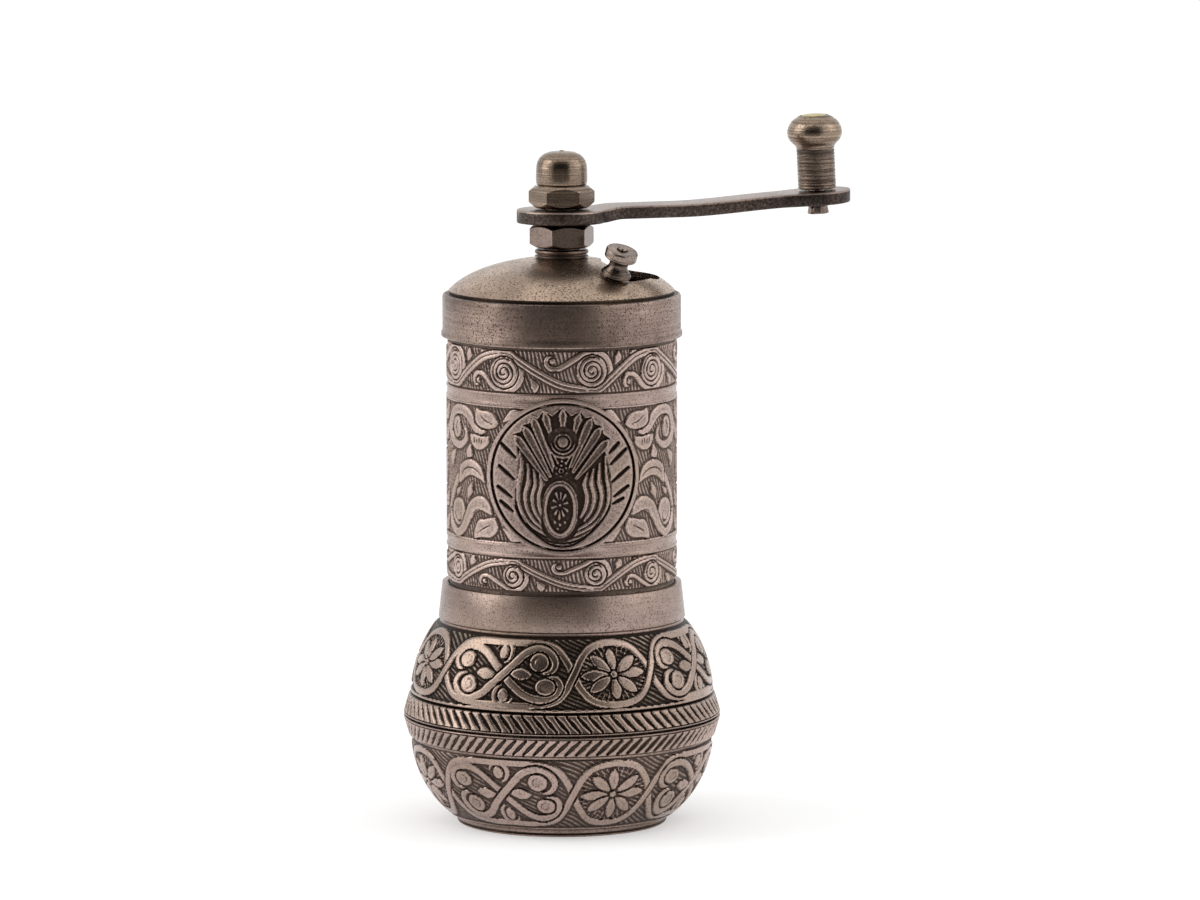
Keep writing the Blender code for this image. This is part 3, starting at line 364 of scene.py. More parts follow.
def settle(face, tone, grain=2):
    """How bright each spot is rubbed: the patina stays in the ground, and most of all beside raised work."""
    wide = np.pad(face, ((6, 6), (0, 0)), mode="edge")
    for reach in (grain, grain):
        across = sum(np.roll(wide, k, 1) for k in range(-reach, reach + 1)) / (2 * reach + 1)
        wide = sum(np.roll(across, k, 0) for k in range(-reach, reach + 1)) / (2 * reach + 1)
    return np.clip(0.5 + 1.55 * (face - wide[6:-6]) + tone * (face - 0.5), 0, 1)


def roll(name, sheet, surface, back, tone):
    """Roll a chased sheet round the axis, and fold it over to a plain back that follows given points."""
    face = np.clip(sheet.face, 0, 1.1).reshape(len(sheet.rows), -1)
    columns = face.shape[1]
    turns = 2 * pi * np.arange(columns) / columns - pi / 2
    radius = np.array([surface(z) for z in sheet.rows])[:, None] - RELIEF + face * RELIEF
    height = np.repeat(sheet.rows[:, None], columns, 1)
    behind = np.array(back)
    radius = np.vstack([radius, np.repeat(behind[:, :1], columns, 1), radius[:1]])
    height = np.vstack([height, np.repeat(behind[:, 1:], columns, 1), height[:1]])
    rubbed = settle(face, tone)
    rubbed = np.vstack([rubbed, np.zeros((len(back), columns)), rubbed[:1]])
    return wrap(name, np.stack([radius * np.cos(turns), radius * np.sin(turns), height], 2), rubbed)


def lay(radius, low, high, grain):
    """A flat sheet for a band that goes right round the mill at a radius."""
    girth = 2 * pi * radius
    columns = round(girth / grain)
    rows = np.linspace(low, high, round((high - low) / grain) + 1)
    return Sheet(np.arange(columns) * girth / columns, rows, girth)


def feed(part, given):
    """Give each named input of a shader node its value, or the socket that feeds it."""
    for name, value in given.items():
        if isinstance(value, bpy.types.NodeSocket):
            part.id_data.links.new(value, part.inputs[name])
        else:
            part.inputs[name].default_value = value


def add(tree, kind, given, **settings):
    """Add a shader node to a tree: its settings first, then what feeds it."""
    part = tree.nodes.new("ShaderNode" + kind)
    for name, value in settings.items():
        setattr(part, name, value)
    feed(part, given)
    return part.outputs


def new_finish(name):
    """A material, and the tree of nodes that it starts with."""
    finish = bpy.data.materials.new(name)
    finish.use_nodes = True
    return finish, finish.node_tree


def metal(tree, colour, rough, height, bump):
    """Make a tree's shader metal, and feed its colour, its roughness and the height of its fine bump."""
    raised = add(tree, "Bump", {"Distance": bump * MM, "Height": height})
    feed(tree.nodes["Principled BSDF"], {
        "Metallic": 1.0, "Base Color": colour, "Roughness": rough, "Normal": raised["Normal"]})


def plate_group():
    """Antique plate: dark in the hollows, rubbed bright on what stands up, stained, pitted and brushed."""
    group = bpy.data.node_groups.new("antique_plate", "ShaderNodeTree")
    for name, kind, value in (
            ("Bright", "Color", (*PLATE_TOP, 1)), ("Dark", "Color", (*PLATE_LOW, 1)),
            ("Relief", "Float", 1.0), ("Speckle", "Float", 0.5), ("Stain", "Float", 0.5),
            ("Turned", "Float", 0.0), ("Polish", "Float", 0.3)):
        socket = group.interface.new_socket(name=name, in_out="INPUT", socket_type="NodeSocket" + kind)
        socket.default_value = value
    for name, kind in (("Colour", "Color"), ("Roughness", "Float"), ("Height", "Float")):
        group.interface.new_socket(name=name, in_out="OUTPUT", socket_type="NodeSocket" + kind)
    given = group.nodes.new("NodeGroupInput").outputs
    place = add(group, "TexCoord", {})["Object"]

    def noise(scale, detail, rough=0.6, stretch=(1, 1, 1)):
        spread = add(group, "Mapping", {"Scale": stretch, "Vector": place})["Vector"]
        return add(group, "TexNoise", {"Scale": scale, "Detail": detail, "Roughness": rough,
                                       "Vector": spread})["Fac"]

    def remap(value, low, high, out_low=0.0, out_high=1.0, kind="SMOOTHSTEP"):
        return add(group, "MapRange", {"From Min": low, "From Max": high, "To Min": out_low, "To Max": out_high,
                                       "Value": value}, interpolation_type=kind)["Result"]

    def figure(operation, a, b):
        return add(group, "Math", {0: a, 1: b}, operation=operation)[0]

    def tint(factor, a, b):
        return add(group, "Mix", {"Factor": factor, "A": a, "B": b}, data_type="RGBA")["Result"]

    grain = noise(2600, 4, 0.75)
    uneven = figure("SUBTRACT", grain, 0.5)
    spot, haze, line = [
        figure("MULTIPLY", remap(noise(*kind), low, high), given[name]) for kind, low, high, name in (
            ((4200, 2, 0.5), 0.53, 0.66, "Speckle"), ((110, 4), 0.38, 0.7, "Stain"),
            ((260, 4, 0.8, (0.12, 0.12, 14)), 0.38, 0.68, "Turned"))]
    clear = remap(figure("ADD", given["Relief"], uneven), 0.1, 0.9)
    for mark, share in ((spot, 0.75), (haze, 0.4), (line, 0.6)):
        clear = figure("MULTIPLY", clear, figure("SUBTRACT", 1.0, figure("MULTIPLY", mark, share)))
    warm = figure("MULTIPLY", remap(noise(60, 2), 0.45, 0.7), 0.35)
    colour = tint(warm, tint(clear, given["Dark"], given["Bright"]), (0.36, 0.27, 0.19, 1))
    rough = figure("ADD", given["Polish"], remap(clear, 0.0, 1.0, 0.26, 0.0, "LINEAR"))
    height = figure("SUBTRACT", figure("MULTIPLY", grain, 0.6), figure("MULTIPLY", spot, 0.7))
    feed(group.nodes.new("NodeGroupOutput"), {
        "Colour": tint(clear, given["Dark"], colour),
        "Roughness": figure("ADD", rough, figure("MULTIPLY", uneven, 0.14)),
        "Height": figure("SUBTRACT", height, figure("MULTIPLY", line, 0.8))})
    return group


antique_plate = plate_group()


def plated(name, bright=PLATE_TOP, dark=PLATE_LOW, speckle=0.5, stain=0.5, turned=0.0, polish=0.3, relief=False,
           bump=0.02):
    """A finish in antique plate, which follows the chased relief where the piece has one."""
    finish, tree = new_finish(name)
    given = {"Bright": (*bright, 1), "Dark": (*dark, 1), "Speckle": speckle, "Stain": stain, "Turned": turned,
             "Polish": polish}
    if relief:
        given["Relief"] = add(tree, "Attribute", {}, attribute_name="relief")["Fac"]
    plate = add(tree, "Group", given, node_tree=antique_plate)
    metal(tree, plate["Colour"], plate["Roughness"], plate["Height"], bump)
    return finish


def dress(piece, finish, body):
    """Give a piece its finish, and fix it to the body it moves with."""
    piece.data.materials.clear()
    piece.data.materials.append(finish)
    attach(piece, body)
    return piece


def paint_corner_shade(piece, inside):
    """Paint shade where it falls in corners, grooves and under rims: the faces that a test picks by radius and
    height get a dark plate.
    """
    piece.data.materials.append(painted_corner_shade)
    for face in piece.data.polygons:
        at = face.center / MM
        if inside(sqrt(at.x * at.x + at.y * at.y), at.z):
            face.material_index = len(piece.data.materials) - 1


# Painted shade: a dark plate for faces in corners, grooves and under rims.
painted_corner_shade = plated("painted_corner_shade", bright=(0.10, 0.074, 0.062), dark=(0.015, 0.011, 0.01), speckle=0.8,
                     polish=0.4)
BOWL_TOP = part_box("lower_bowl")[1].z / MM
FOOT = 1.2
WALL = 1.4
LIP = 24.1
LIP_HIGH = 0.25
ROPE = 2.75
BULB = 23.0
RELIEF_GRAIN = 0.165
BAND_RADIUS = 22.0

bowl_wall = swell((17.1, FOOT + 0.2), (BULB, BOWL_TOP - LIP_HIGH - ROPE - 1.1), 1.2)


def bulb_half(seam, way, wall):
    """Outer radius of half of the bulb by height: the lip at its seam, the rope, a bead and the wall."""
    rope_end = seam + way * LIP_HIGH + way * ROPE
    steps = (rope_end + way * 1.1, rope_end + way * 0.6, rope_end + way * 0.2, rope_end, seam + way * LIP_HIGH)
    radii = (BULB, BULB + 0.12, BULB, BULB + 0.3, LIP)

    def outside(z):
        if way * z > way * steps[0]:
            return wall(z)
        return float(np.interp(-way * z, [-way * step for step in steps], radii))

    return outside


sheet = lay(BAND_RADIUS, FOOT + 0.25, BOWL_TOP - LIP_HIGH, RELIEF_GRAIN)
frieze(sheet, 1.9, 12.75, -0.269, 0.55)
sheet.ledge(FOOT + 0.2, 1.62, 0.9)
rope(sheet, BOWL_TOP - LIP_HIGH - ROPE + 0.05, BOWL_TOP - LIP_HIGH - 0.05, 92, 2.1)
bowl_chasing = roll("bowl_chasing", sheet, bulb_half(BOWL_TOP, -1, bowl_wall), measured(
    BOWL_TOP, (22.75, -LIP_HIGH), (22.5, -4.1)) + follow(bowl_wall, 0.95, BOWL_TOP - 4.4, FOOT + 0.5) + [
    (16.2, FOOT + 0.25)], 0.42)
bowl_plate = plated("bowl_plate", bright=(0.46, 0.346, 0.302), dark=(0.075, 0.053, 0.045), relief=True,
                    speckle=0.4, stain=0.25, polish=0.26)
dress(bowl_chasing, bowl_plate, "bowl")

bowl_cup = turn("bowl_cup", [(0.0, WALL)] + follow(bowl_wall, WALL, WALL, BOWL_TOP - 4.3, 9) + measured(
    BOWL_TOP, (22.2, -4.3), (22.2, 0), (LIP - 0.1, 0), (LIP, -0.1), (LIP, -LIP_HIGH), (22.9, -LIP_HIGH),
    (22.6, -4.1)) + follow(bowl_wall, 0.85, BOWL_TOP - 4.4, FOOT + 0.5) + [
    (16.3, FOOT + 0.25), (16.3, FOOT), (16.0, FOOT - 0.25), (16.0, 0.62), (15.75, 0.5), (15.75, 0.38),
    (16.0, 0.27), (15.8, 0.0), (0.0, 0.0)])
smooth_cast = plated("smooth_cast", bright=(0.385, 0.288, 0.25), speckle=0.55, stain=0.5, turned=0.15,
                     polish=0.27)
dress(bowl_cup, smooth_cast, "bowl")
# Painted shade in the groove round the foot and under the bowl's wall just above the foot.
paint_corner_shade(bowl_cup, lambda r, z: r > 15.6 and (0.3 < z < 0.6 or FOOT - 0.02 < z < FOOT + 0.3))
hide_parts("lower_bowl")


# Upper bell: the other half of the bulb, one casting with its shoulder, its plain collar and the web inside.
# It carries the same rope band and frieze as the bowl. Three screws pass up through the web.

BELL_FOOT = 16.7
SHOULDER = 31.0
COLLAR_TOP = 36.8
COLLAR = 18.75
WEB = (27.6, 30.0)
FLANGE_SEAT = 12.7
BORE = 17.25
SPIGOT_FOOT = 12.7
SCREW_RING = 14.95

bell_wall = swell((BULB, BELL_FOOT + LIP_HIGH + ROPE + 1.1), (19.1, SHOULDER - 0.25), 0.75)
sheet = lay(BAND_RADIUS, BELL_FOOT + LIP_HIGH, SHOULDER - 0.1, RELIEF_GRAIN)
frieze(sheet, 20.55, 30.5, -0.267, 0.6)
rope(sheet, BELL_FOOT + LIP_HIGH + 0.05, BELL_FOOT + LIP_HIGH + ROPE - 0.05, 86, -1.9)
sheet.ledge(19.95, 20.5, 0.9)
bell_chasing = roll("bell_chasing", sheet, bulb_half(BELL_FOOT, 1, bell_wall), [(18.2, SHOULDER - 0.1)] +
                    follow(bell_wall, 0.95, 30.3, 21.0) + [(22.4, 20.4), (22.75, BELL_FOOT + LIP_HIGH)], 0.75)
bell_plate = plated("bell_plate", bright=(0.42, 0.315, 0.262), dark=(0.02, 0.014, 0.011), relief=True,
                    speckle=0.4, stain=0.25, polish=0.22, bump=0.012)
dress(bell_chasing, bell_plate, "mill_body")


def carve(piece, tool, operation="DIFFERENCE"):
    """Cut a piece with a tool, or add the tool to it, and throw the tool away."""
    work(piece, "BOOLEAN", object=tool, operation=operation, solver="EXACT")
    take(tool)
    bpy.ops.object.delete()


bell = turn("bell", follow(bell_wall, WALL, 20.8, WEB[0], 5) + [
    (FLANGE_SEAT, WEB[0]), (FLANGE_SEAT, WEB[1]), (BORE, WEB[1]), (BORE, COLLAR_TOP),
    (COLLAR - 0.6, COLLAR_TOP)]
    + measured(SHOULDER, (COLLAR, 0.5), (COLLAR - 0.35, 0.25), (COLLAR - 0.35, 0), (18.6, -0.1), (18.3, -0.15))
    + follow(bell_wall, 0.85, 30.3, 21.0) + [(22.5, 20.4)]
    + measured(BELL_FOOT, (22.9, LIP_HIGH), (LIP, LIP_HIGH), (LIP, 0.1), (LIP - 0.1, 0), (21.9, 0))
    + [(21.9, SPIGOT_FOOT), (20.8, SPIGOT_FOOT), (20.8, BELL_FOOT + LIP_HIGH), (bell_wall(20.8, WALL), 20.8)])
for i in range(3):
    angle = 2 * pi * i / 3 + pi / 3
    carve(bell, fresh(
        bpy.ops.mesh.primitive_cylinder_add, "screw_hole", vertices=32, radius=1.2 * MM, depth=6 * MM,
        location=(SCREW_RING * MM * cos(angle), SCREW_RING * MM * sin(angle), 28.8 * MM)))
dress(bell, smooth_cast, "mill_body")
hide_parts("upper_bell")


# Burr set, bearing and spring: a toothed iron ring screwed up under the web, a toothed cone on the shaft,
# a cast three-armed bearing above them, and a spring that keeps the cone down on its finger nut.


def plain_metal(name, colour, rough, grain, streak):
    """Bare worked metal: a fine grain that varies its colour and roughness, and a little bump."""
    finish, tree = new_finish(name)
    place = add(tree, "TexCoord", {})["Object"]
    noise = add(tree, "TexNoise", {"Scale": grain, "Detail": 4, "Vector": place})["Fac"]
    shades = add(tree, "ValToRGB", {"Fac": noise})["Color"]
    for stop, position, share in zip(shades.node.color_ramp.elements, (0.3, 0.7), (1 - streak, 1 + streak)):
        stop.position = position
        stop.color = (*[min(c * share, 1) for c in colour], 1)
    spread = add(tree, "MapRange", {"To Min": rough * 0.8, "To Max": rough * 1.25, "Value": noise})["Result"]
    metal(tree, shades, spread, noise, 0.02)
    return finish


def finish_nodes(finish, *nodes):
    """Give solids that keep their own shape their finish."""
    for node in nodes:
        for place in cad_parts[node].material_slots:
            place.material = finish


finish_nodes(plain_metal("burr_iron_bare", (0.16, 0.15, 0.145), 0.48, 1200, 0.3), "outer_burr", "inner_burr")
finish_nodes(plain_metal("bright_steel_bare", (0.56, 0.55, 0.53), 0.28, 1500, 0.12), "burr_screw_1",
             "burr_screw_2", "burr_screw_3", "thrust_washer", "burr_spring", "shutter_washer",
             "adjusting_nut")
finish_nodes(plain_metal("cage_zinc_bare", (0.33, 0.33, 0.335), 0.55, 700, 0.2), "bearing_cage")


# Hopper tube: a drawn tube with two plain bands, pressed into the bell's bore below and the cap above.
# Between the bands runs a field of palmettes and pods, and a running scroll goes round each end.
# The skins with the relief are rolled round the tube and lie on it.

TUBE = 17.5
TUBE_BORE = 15.9
TUBE_FOOT = 30.3
TUBE_TOP = 79.8
SEAT = 17.1
LOW_BAND = (42.5, 44.5)
HIGH_BAND = (65.2, 67.2)
TUBE_LOW = 37.1
TUBE_HIGH = 74.0
UNDER = 16.75


def plain_band(low, high):
    """Outline of a plain band from its top down: a fillet, a shallow groove and a fillet."""
    return (measured(high, (UNDER, 0), (TUBE - 0.1, 0), (TUBE, -0.12), (TUBE, -0.4), (TUBE - 0.12, -0.5))
            + measured(low, (TUBE - 0.12, 0.5), (TUBE, 0.4), (TUBE, 0.12), (TUBE - 0.1, 0), (UNDER, 0)))


hopper_tube = turn("hopper_tube_core", [
    (TUBE_BORE, TUBE_TOP), (SEAT, TUBE_TOP), (SEAT, TUBE_HIGH), (UNDER, TUBE_HIGH)] + plain_band(*HIGH_BAND)
    + plain_band(*LOW_BAND) + [(UNDER, TUBE_LOW), (SEAT, TUBE_LOW), (SEAT, TUBE_FOOT), (TUBE_BORE, TUBE_FOOT),
                               (TUBE_BORE, TUBE_TOP)], steps=180, edge=0.06)
tube_plate = plated("tube_plate", bright=(0.42, 0.315, 0.275), speckle=0.55, stain=0.4, polish=0.27)
dress(hopper_tube, tube_plate, "mill_body")
# Painted shade: the tube is darkened where it goes under the cap's rim and into the collar.
paint_corner_shade(hopper_tube, lambda r, z: r > SEAT - 0.05 and (
    TUBE_HIGH - 0.1 < z < TUBE_HIGH + 0.6 or z < TUBE_LOW + 0.1))
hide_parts("hopper_tube")


def scroll(sheet, coils, low, high, reach):
    """A running scroll: one stem waves over and under coiled discs, and a shoot curls off round each."""
    sheet.hatch(0.6, 14, 0.55, low, high)
    size = reach / 2.95
    stems, shoots, discs, leaves = [], [], [], []
    coils = [(TUBE * radians(angle), -1 if up else 1) for angle, up in coils]
    gaps = [(coils[(k + 1) % len(coils)][0] - x) % sheet.girth for k, (x, way) in enumerate(coils)]
    for k, (x, way) in enumerate(coils):
        centre = x + 1j * ((low + high) / 2 - 0.2 * way)
        gap = gaps[k]
        room = min(gaps[k - 1] / 14.0, 1.0)
        bridge = gap - 1.67 * reach
        run = gap - 0.88 * reach

        def at(across, up):
            return centre + across + 1j * way * up

        def round_disc(*angles):
            return [at(reach * cos(radians(a)), reach * sin(radians(a))) for a in angles]

        stems.append(through(
            *round_disc(100, 82, 63, 45), at(0.71 * reach + 0.31 * run, 0.0),
            at(0.71 * reach + 0.63 * run, 0.27 - 0.68 * reach), at(gap - 0.17 * reach, 0.4 - reach)))
        shoots.append(through(*round_disc(45, 20, -12, -48, -90, -135), *[
            at(across * room, up * size) for across, up in (
                (-3.9, -1.0), (-5.2, -0.35), (-6.5, -0.4), (-7.1, -1.15), (-6.8, -2.05), (-6.0, -2.2))]))
        discs.append(centre)
        sheet.ball(at(-6.15 * room, -1.5 * size), 0.42, 0.95, 0.2)
        leaves.append(through(at(0.9 * reach + 0.2 * bridge, -0.3 * reach),
                              at(0.9 * reach + 0.27 * bridge, -0.65 * reach),
                              at(0.9 * reach + 0.27 * bridge, -1.02 * reach)))
        leaves.append(through(at(-0.2 * reach - 0.3 * bridge, 1.0 * reach),
                              at(-0.9 * reach - 0.12 * bridge, 0.98 * reach), at(-0.9 * reach, 0.8 * reach)))
    for line in leaves:
        sheet.over(line, (0.1, 0.62, 0.08), 0.16, 0.95)
    for line in shoots:
        sheet.over(line, np.array((0.42, 0.46, 0.46, 0.42, 0.36, 0.34, 0.12)) * min(size + 0.05, 1), 0.16)
    for line in stems:
        sheet.clear(line, 0.76 * size ** 0.5)
    for line in stems:
        sheet.lift(line, 0.6 * size ** 0.5)
        sheet.cut(line, 0.07, 0.45)
    for centre in discs:
        sheet.over((centre, centre + 0.01), reach - 0.56, 0.16)
        sheet.cut(swirl(centre, reach - 0.82, 0.3, 60, (reach - 1.1) / 0.68, 90), (0.08, 0.1, 0.07), 0.75)
    for edge in (low, high):
        sheet.face *= 1 - shade((0.36 - np.abs(sheet.spots.imag - edge)) / 0.1)


TUBE_BACK = UNDER - 0.1
TUBE_GRAIN = 0.155
chased_plate = plated("chased_plate", bright=(0.56, 0.43, 0.38), dark=(0.115, 0.083, 0.07), relief=True,
                      speckle=0.45, stain=0.25, polish=0.29)


def tube_skin(name, low, high, chase, *given):
    """One rolled skin of the tube, chased by the function it is given."""
    sheet = lay(TUBE, low, high, TUBE_GRAIN)
    chase(sheet, *given)
    back = [(TUBE_BACK, high), (TUBE_BACK, (low + high) / 2), (TUBE_BACK, low)]
    skin = roll(name, sheet, lambda z: TUBE, back, 0.35)
    dress(skin, chased_plate, "mill_body")


UPPER_COILS = ((-115, False), (-67, True), (-30, False), (15, True), (51, False), (100, True), (148, False),
               (197, True))
LOWER_COILS = ((-112, False), (-64, True), (-25, False), (17, True), (51, False), (99, True), (148, False),
               (198, True))
tube_skin("upper_scroll", HIGH_BAND[1], TUBE_HIGH, scroll, UPPER_COILS, HIGH_BAND[1] - 0.15, TUBE_HIGH, 2.95)
tube_skin("lower_scroll", TUBE_LOW, LOW_BAND[0], scroll, LOWER_COILS, TUBE_LOW, LOW_BAND[0] + 0.15, 2.25)


def growth(sheet, at):
    """One panel of the field, which is turned over for each panel beside it.

    Heart-shaped leaves at its top and foot run out into two coiled shoots, with an arched leaf between
    them. A stem with leaves stands where two panels meet.
    """

    def line(points, steps=7):
        return through(*[at(spot) for spot in points], steps=steps)

    def stroke(widths, *points, moat=0.2):
        sheet.over(line(points), widths, moat)

    def vein(widths, *points, depth=0.45):
        sheet.cut(line(points), widths, depth)

    def leaf(*points):
        sheet.fill(line(points + points[:1], 3)[:-1], 0.24)

    def pod(middle, wide, high):
        turns = np.radians(np.arange(0, 360, 15))
        sheet.fill(np.array([at(middle + complex(wide * cos(t), high * sin(t))) for t in turns]), 0.24)

    for z, way in ((64.3j, 1), (45.3j, -1)):
        stroke((0.2, 0.8, 0.1), z - 6.6, z - 5.0 - way * 0.3j, z - 3.2 - way * 1.5j)
    stroke((0.1, 0.5, 0.7, 0.8, 0.8, 0.78, 0.7, 0.7, 0.65, 0.6, 0.5, 0.4, 0.1), -0.1+61.2j, 0.95+61.1j,
           2+61.5j, 3+62.6j, 4.15+63.6j, 6+64.1j, 8.1+63.6j, 9.4+62.2j, 9.8+60.7j, 8.8+59.2j,
           6.6+58.6j, 4.9+59.3j, 4.3+60.5j, 4.9+61.6j, moat=0.24)
    pod(7.15+61.3j, 1.15, 1.65)
    vein((0.05, 0.1, 0.05), 6.8+62.3j, 7.4+61.2j, 6.9+60.3j, depth=0.5)
    leaf(2+64.7j, 2.15+63.4j, 2+62.4j, 1+61.75j, -0.2+61.6j, -1.3+61.7j, -2.2+62.2j, -2.4+63j,
         -1.6+63.9j, -0.35+64.3j, 0.95+64.3j)
    vein((0.04, 0.1, 0.03), -1.2+62.4j, 0+62.8j, 1+63.6j)
    leaf(-0.8+60.6j, -0.6+59.5j, 0.2+58.7j, 1.2+58.3j, 2.3+58.5j, 3.1+59.4j, 3.3+60.6j, 2.2+60.6j,
         0.9+60.4j)
    for k in range(4):
        vein((0.04, 0.09, 0.03), 0.7 + 0.55 * k + 60.1j, 0.9 + 0.45 * k + 59.1j)
    stroke((0.3, 0.75, 0.08), 3.4+58.7j, 3.6+57.7j, 4+56.3j)
    stroke((0.2, 0.7, 0.1), 8+57.6j, 8.9+56.6j, 9+55.2j)
    stroke((0.3, 0.45, 0.45, 0.45, 0.3), 5.2+55.3j, 6.6+54j, 7.8+52.4j, 8.9+50.8j, 10+48.8j)
    arch = line((0.2+53.5j, 1.4+54.9j, 3.3+55.5j, 5.1+54.9j, 6.2+53.2j))
    sheet.over(arch, (0.15, 0.95, 1.25, 1.15, 0.3), 0.24)
    sheet.cut(arch[4:-5], (0.04, 0.1, 0.04), 0.45)
    stroke((0.2, 0.6, 0.1), 3+53.1j, 3.5+52j, 4+50.7j)
    sheet.over(line((6.2+52.2j, 6.9+51.6j, 7.2+51j)), (0.1, 0.45, 0.1), 0.18, 0.9)
    pod(6.7+48.5j, 2.05, 2.1)
    stroke((0.3, 0.9, 1.1, 1.0, 0.8, 0.7, 0.65, 0.6, 0.5, 0.2), -1+48.9j, -0.2+49.8j, 1.2+50.3j, 2.8+49.6j,
           4+48j, 5.1+46.4j, 6.5+45.4j, 8.1+45.6j, 9.4+46.8j, 9.8+48.4j, moat=0.24)
    vein((0.06, 0.14, 0.12, 0.04), 5.9+48.3j, 6.1+47.2j, 7.2+47.2j, 7.9+48.4j, depth=0.7)
    vein((0.04, 0.1, 0.04), 1.2+49.3j, 2.1+49.1j, 2.9+48.3j, depth=0.5)
    leaf(0.3+47.9j, 1.35+47.8j, 2.1+46.7j, 2.5+44.9j, 0.95+45.1j, -0.85+45.2j, -2+46j, -2.4+47.2j,
         -1.9+48.3j, -0.8+48.2j)
    vein((0.04, 0.1, 0.03), -1+47.1j, 0.2+46.6j, 1.2+46j)
    for z in (46.4j, 50.0j, 60.2j, 63.2j):
        stroke((0.2, 0.85, 0.1), z + 13.7 - 1.0j, z + 12.3 - 0.5j, z + 11.0 + 1.2j)
        vein((0.04, 0.08, 0.03), z + 13.2 - 0.8j, z + 12.2 - 0.4j, z + 11.4 + 0.7j, depth=0.5)
    stroke(0.42, 13.95+44.4j, 13.95+65.3j)
    stroke((0.3, 1.3, 1.5, 1.2, 0.3), 13.95+52.2j, 13.95+57.2j, moat=0.22)
    vein(0.06, 13.95+52.8j, 13.95+56.6j, depth=0.5)


def field(sheet):
    """Six panels of growth between one edge of the medallion and the other, round the back."""
    sheet.hatch(0.58, 20, 0.5, LOW_BAND[1], HIGH_BAND[0])
    start = 12.55
    width = (sheet.girth - 2 * start) / 6
    for k in range(6):
        edge, way = (start + width * (k + 1), -1) if k % 2 else (start + width * k, 1)
        growth(sheet, lambda spot: edge + way * spot.real + 1j * spot.imag)
    sheet.ledge(LOW_BAND[1] - 0.2, LOW_BAND[1] + 0.22, 0.85)
    sheet.ledge(HIGH_BAND[0] - 0.22, HIGH_BAND[0] + 0.2, 0.85)


tube_skin("field", LOW_BAND[1], HIGH_BAND[0], field)


# Medallion: a stamped oval plate with a raised rim, curved to the tube and soldered to its front.
# It shows a spray of buds and flame-shaped leaves, dark with antique plate, its ridges rubbed bright.

MEDALLION = (0.15, 54.8)
MEDALLION_REACH = (11.4, 11.8)
MEDALLION_STAND = 0.55
GRAIN = 0.13
HALF = 12.6

marks = np.linspace(-HALF, HALF, round(2 * HALF / GRAIN) + 1)
sheet = Sheet(marks, marks)
sheet.face[:] = 0.85
TIPS = (-7.3+6.5j, -5.95+7.9j, -4.65+9.3j, -2.9+10.15j, 10.7j, 2.6+10.05j, 4.4+9.15j, 5.85+7.75j,
        7.0+5.8j)
NOTCHES = (-6.3+6.8j, -5.1+8.1j, -3.75+8.9j, -1.6+9.3j, 1.25+9.3j, 3.35+9.0j, 4.85+7.95j, 6.05+6.5j)
FEET = (-2.4-0.4j, -1.85+0.1j, -1.35+0.9j, -1.75+6.2j, 6.7j, 1.65+6.3j, 1.2+1.6j, 1.5+0.8j, 1.95-0.2j)
zigzag = [TIPS[0]]
for notch, tip in zip(NOTCHES, TIPS[1:]):
    zigzag += [notch, tip]
skirt_line = through(6.2+3.9j, 6.9+1.2j, 7.2-2.3j, 6.9-4.9j, 5.2-7.2j, 2.4-8.9j, -0.4-9.4j, -3.3-8.9j,
                     -5.7-7.2j, -7.0-4.8j, -7.05-2.3j, -6.7+0.2j, -6.55+2.7j, -6.8+4.4j)
sheet.blend(shade(-sheet.inside(np.concatenate([zigzag, skirt_line])) / 0.16), 0.14)
sheet.lift(np.array(zigzag), 0.13, 1.0, 0.12)
for tip, foot in zip(TIPS, FEET):
    way = (foot - tip) / abs(foot - tip)
    sheet.lift(through(tip + way * 0.3, tip + way * 1.4, (tip + foot) / 2, foot),
               (0.1, 0.56, 0.5, 0.2), 0.62, 0.14)
    for lean in (1j, -1j):
        sheet.lift(through(tip + way * 0.35, tip + way * 1.4 + way * lean * 0.5,
                           (tip + foot) / 2 + way * lean * 0.42, foot + way * lean * 0.16),
                   (0.13, 0.16, 0.15, 0.12), 1.0, 0.12)
for foot, tip in ((-1.0+1.0j, -2.5+5.2j), (0.85+1.3j, 2.35+5.2j), (-0.6+1.9j, -1.7+4.0j),
                  (0.45+2.0j, 1.6+4.0j)):
    sheet.lift((foot, tip), (0.13, 0.17), 0.9, 0.12)
CUPS = (
    (-6.5+3.9j, -6.25+1.6j, -6.7-1.5j, -6.55-4.2j, -5.4-6.6j, -3.4-8.1j, -2.2-8.7j),
    (-5.35+1.9j, -5.2-0.5j, -5.65-2.6j, -5.35-4.8j, -4.2-6.7j, -2.7-7.9j),
    (-4.45+1.1j, -4.15-1.0j, -4.6-2.9j, -4.3-4.9j, -3.3-6.7j),
    (-3.5+0.5j, -3.25-1.2j, -3.65-3.0j, -3.45-4.8j, -3.0-5.9j),
    (6.3+3.1j, 6.45, 6.85-2.3j, 6.5-4.8j, 5.0-6.9j, 3.0-8.1j, 1.4-8.8j),
    (5.4+1.9j, 5.3-0.6j, 5.75-2.8j, 5.35-5.0j, 4.1-6.7j, 2.2-7.9j),
    (4.5+1.2j, 4.2-0.9j, 4.65-3.0j, 4.2-5.0j, 3.1-6.6j),
    (3.6+0.6j, 3.2-1.2j, 3.6-3.0j, 3.3-4.8j, 2.6-6.0j))
for points in CUPS:
    sheet.lift(through(*[point + 0.12 for point in points]), (0.2, 0.48, 0.5, 0.5, 0.48, 0.3), 0.58, 0.14)
for points in CUPS:
    sheet.lift(through(*points), (0.1, 0.24, 0.26, 0.26, 0.24, 0.16), 1.0, 0.12)
for k in range(2):
    sheet.cut(arc(-0.1, 7.9 - 0.9 * k, 205 + 8 * k, 335 - 8 * k, 9.9 + 0.52 * k, 30),
              (0.03, 0.1, 0.14, 0.1, 0.03), 0.7)
sheet.clear((5.3j, 5.31j), 2.35, 0.25)
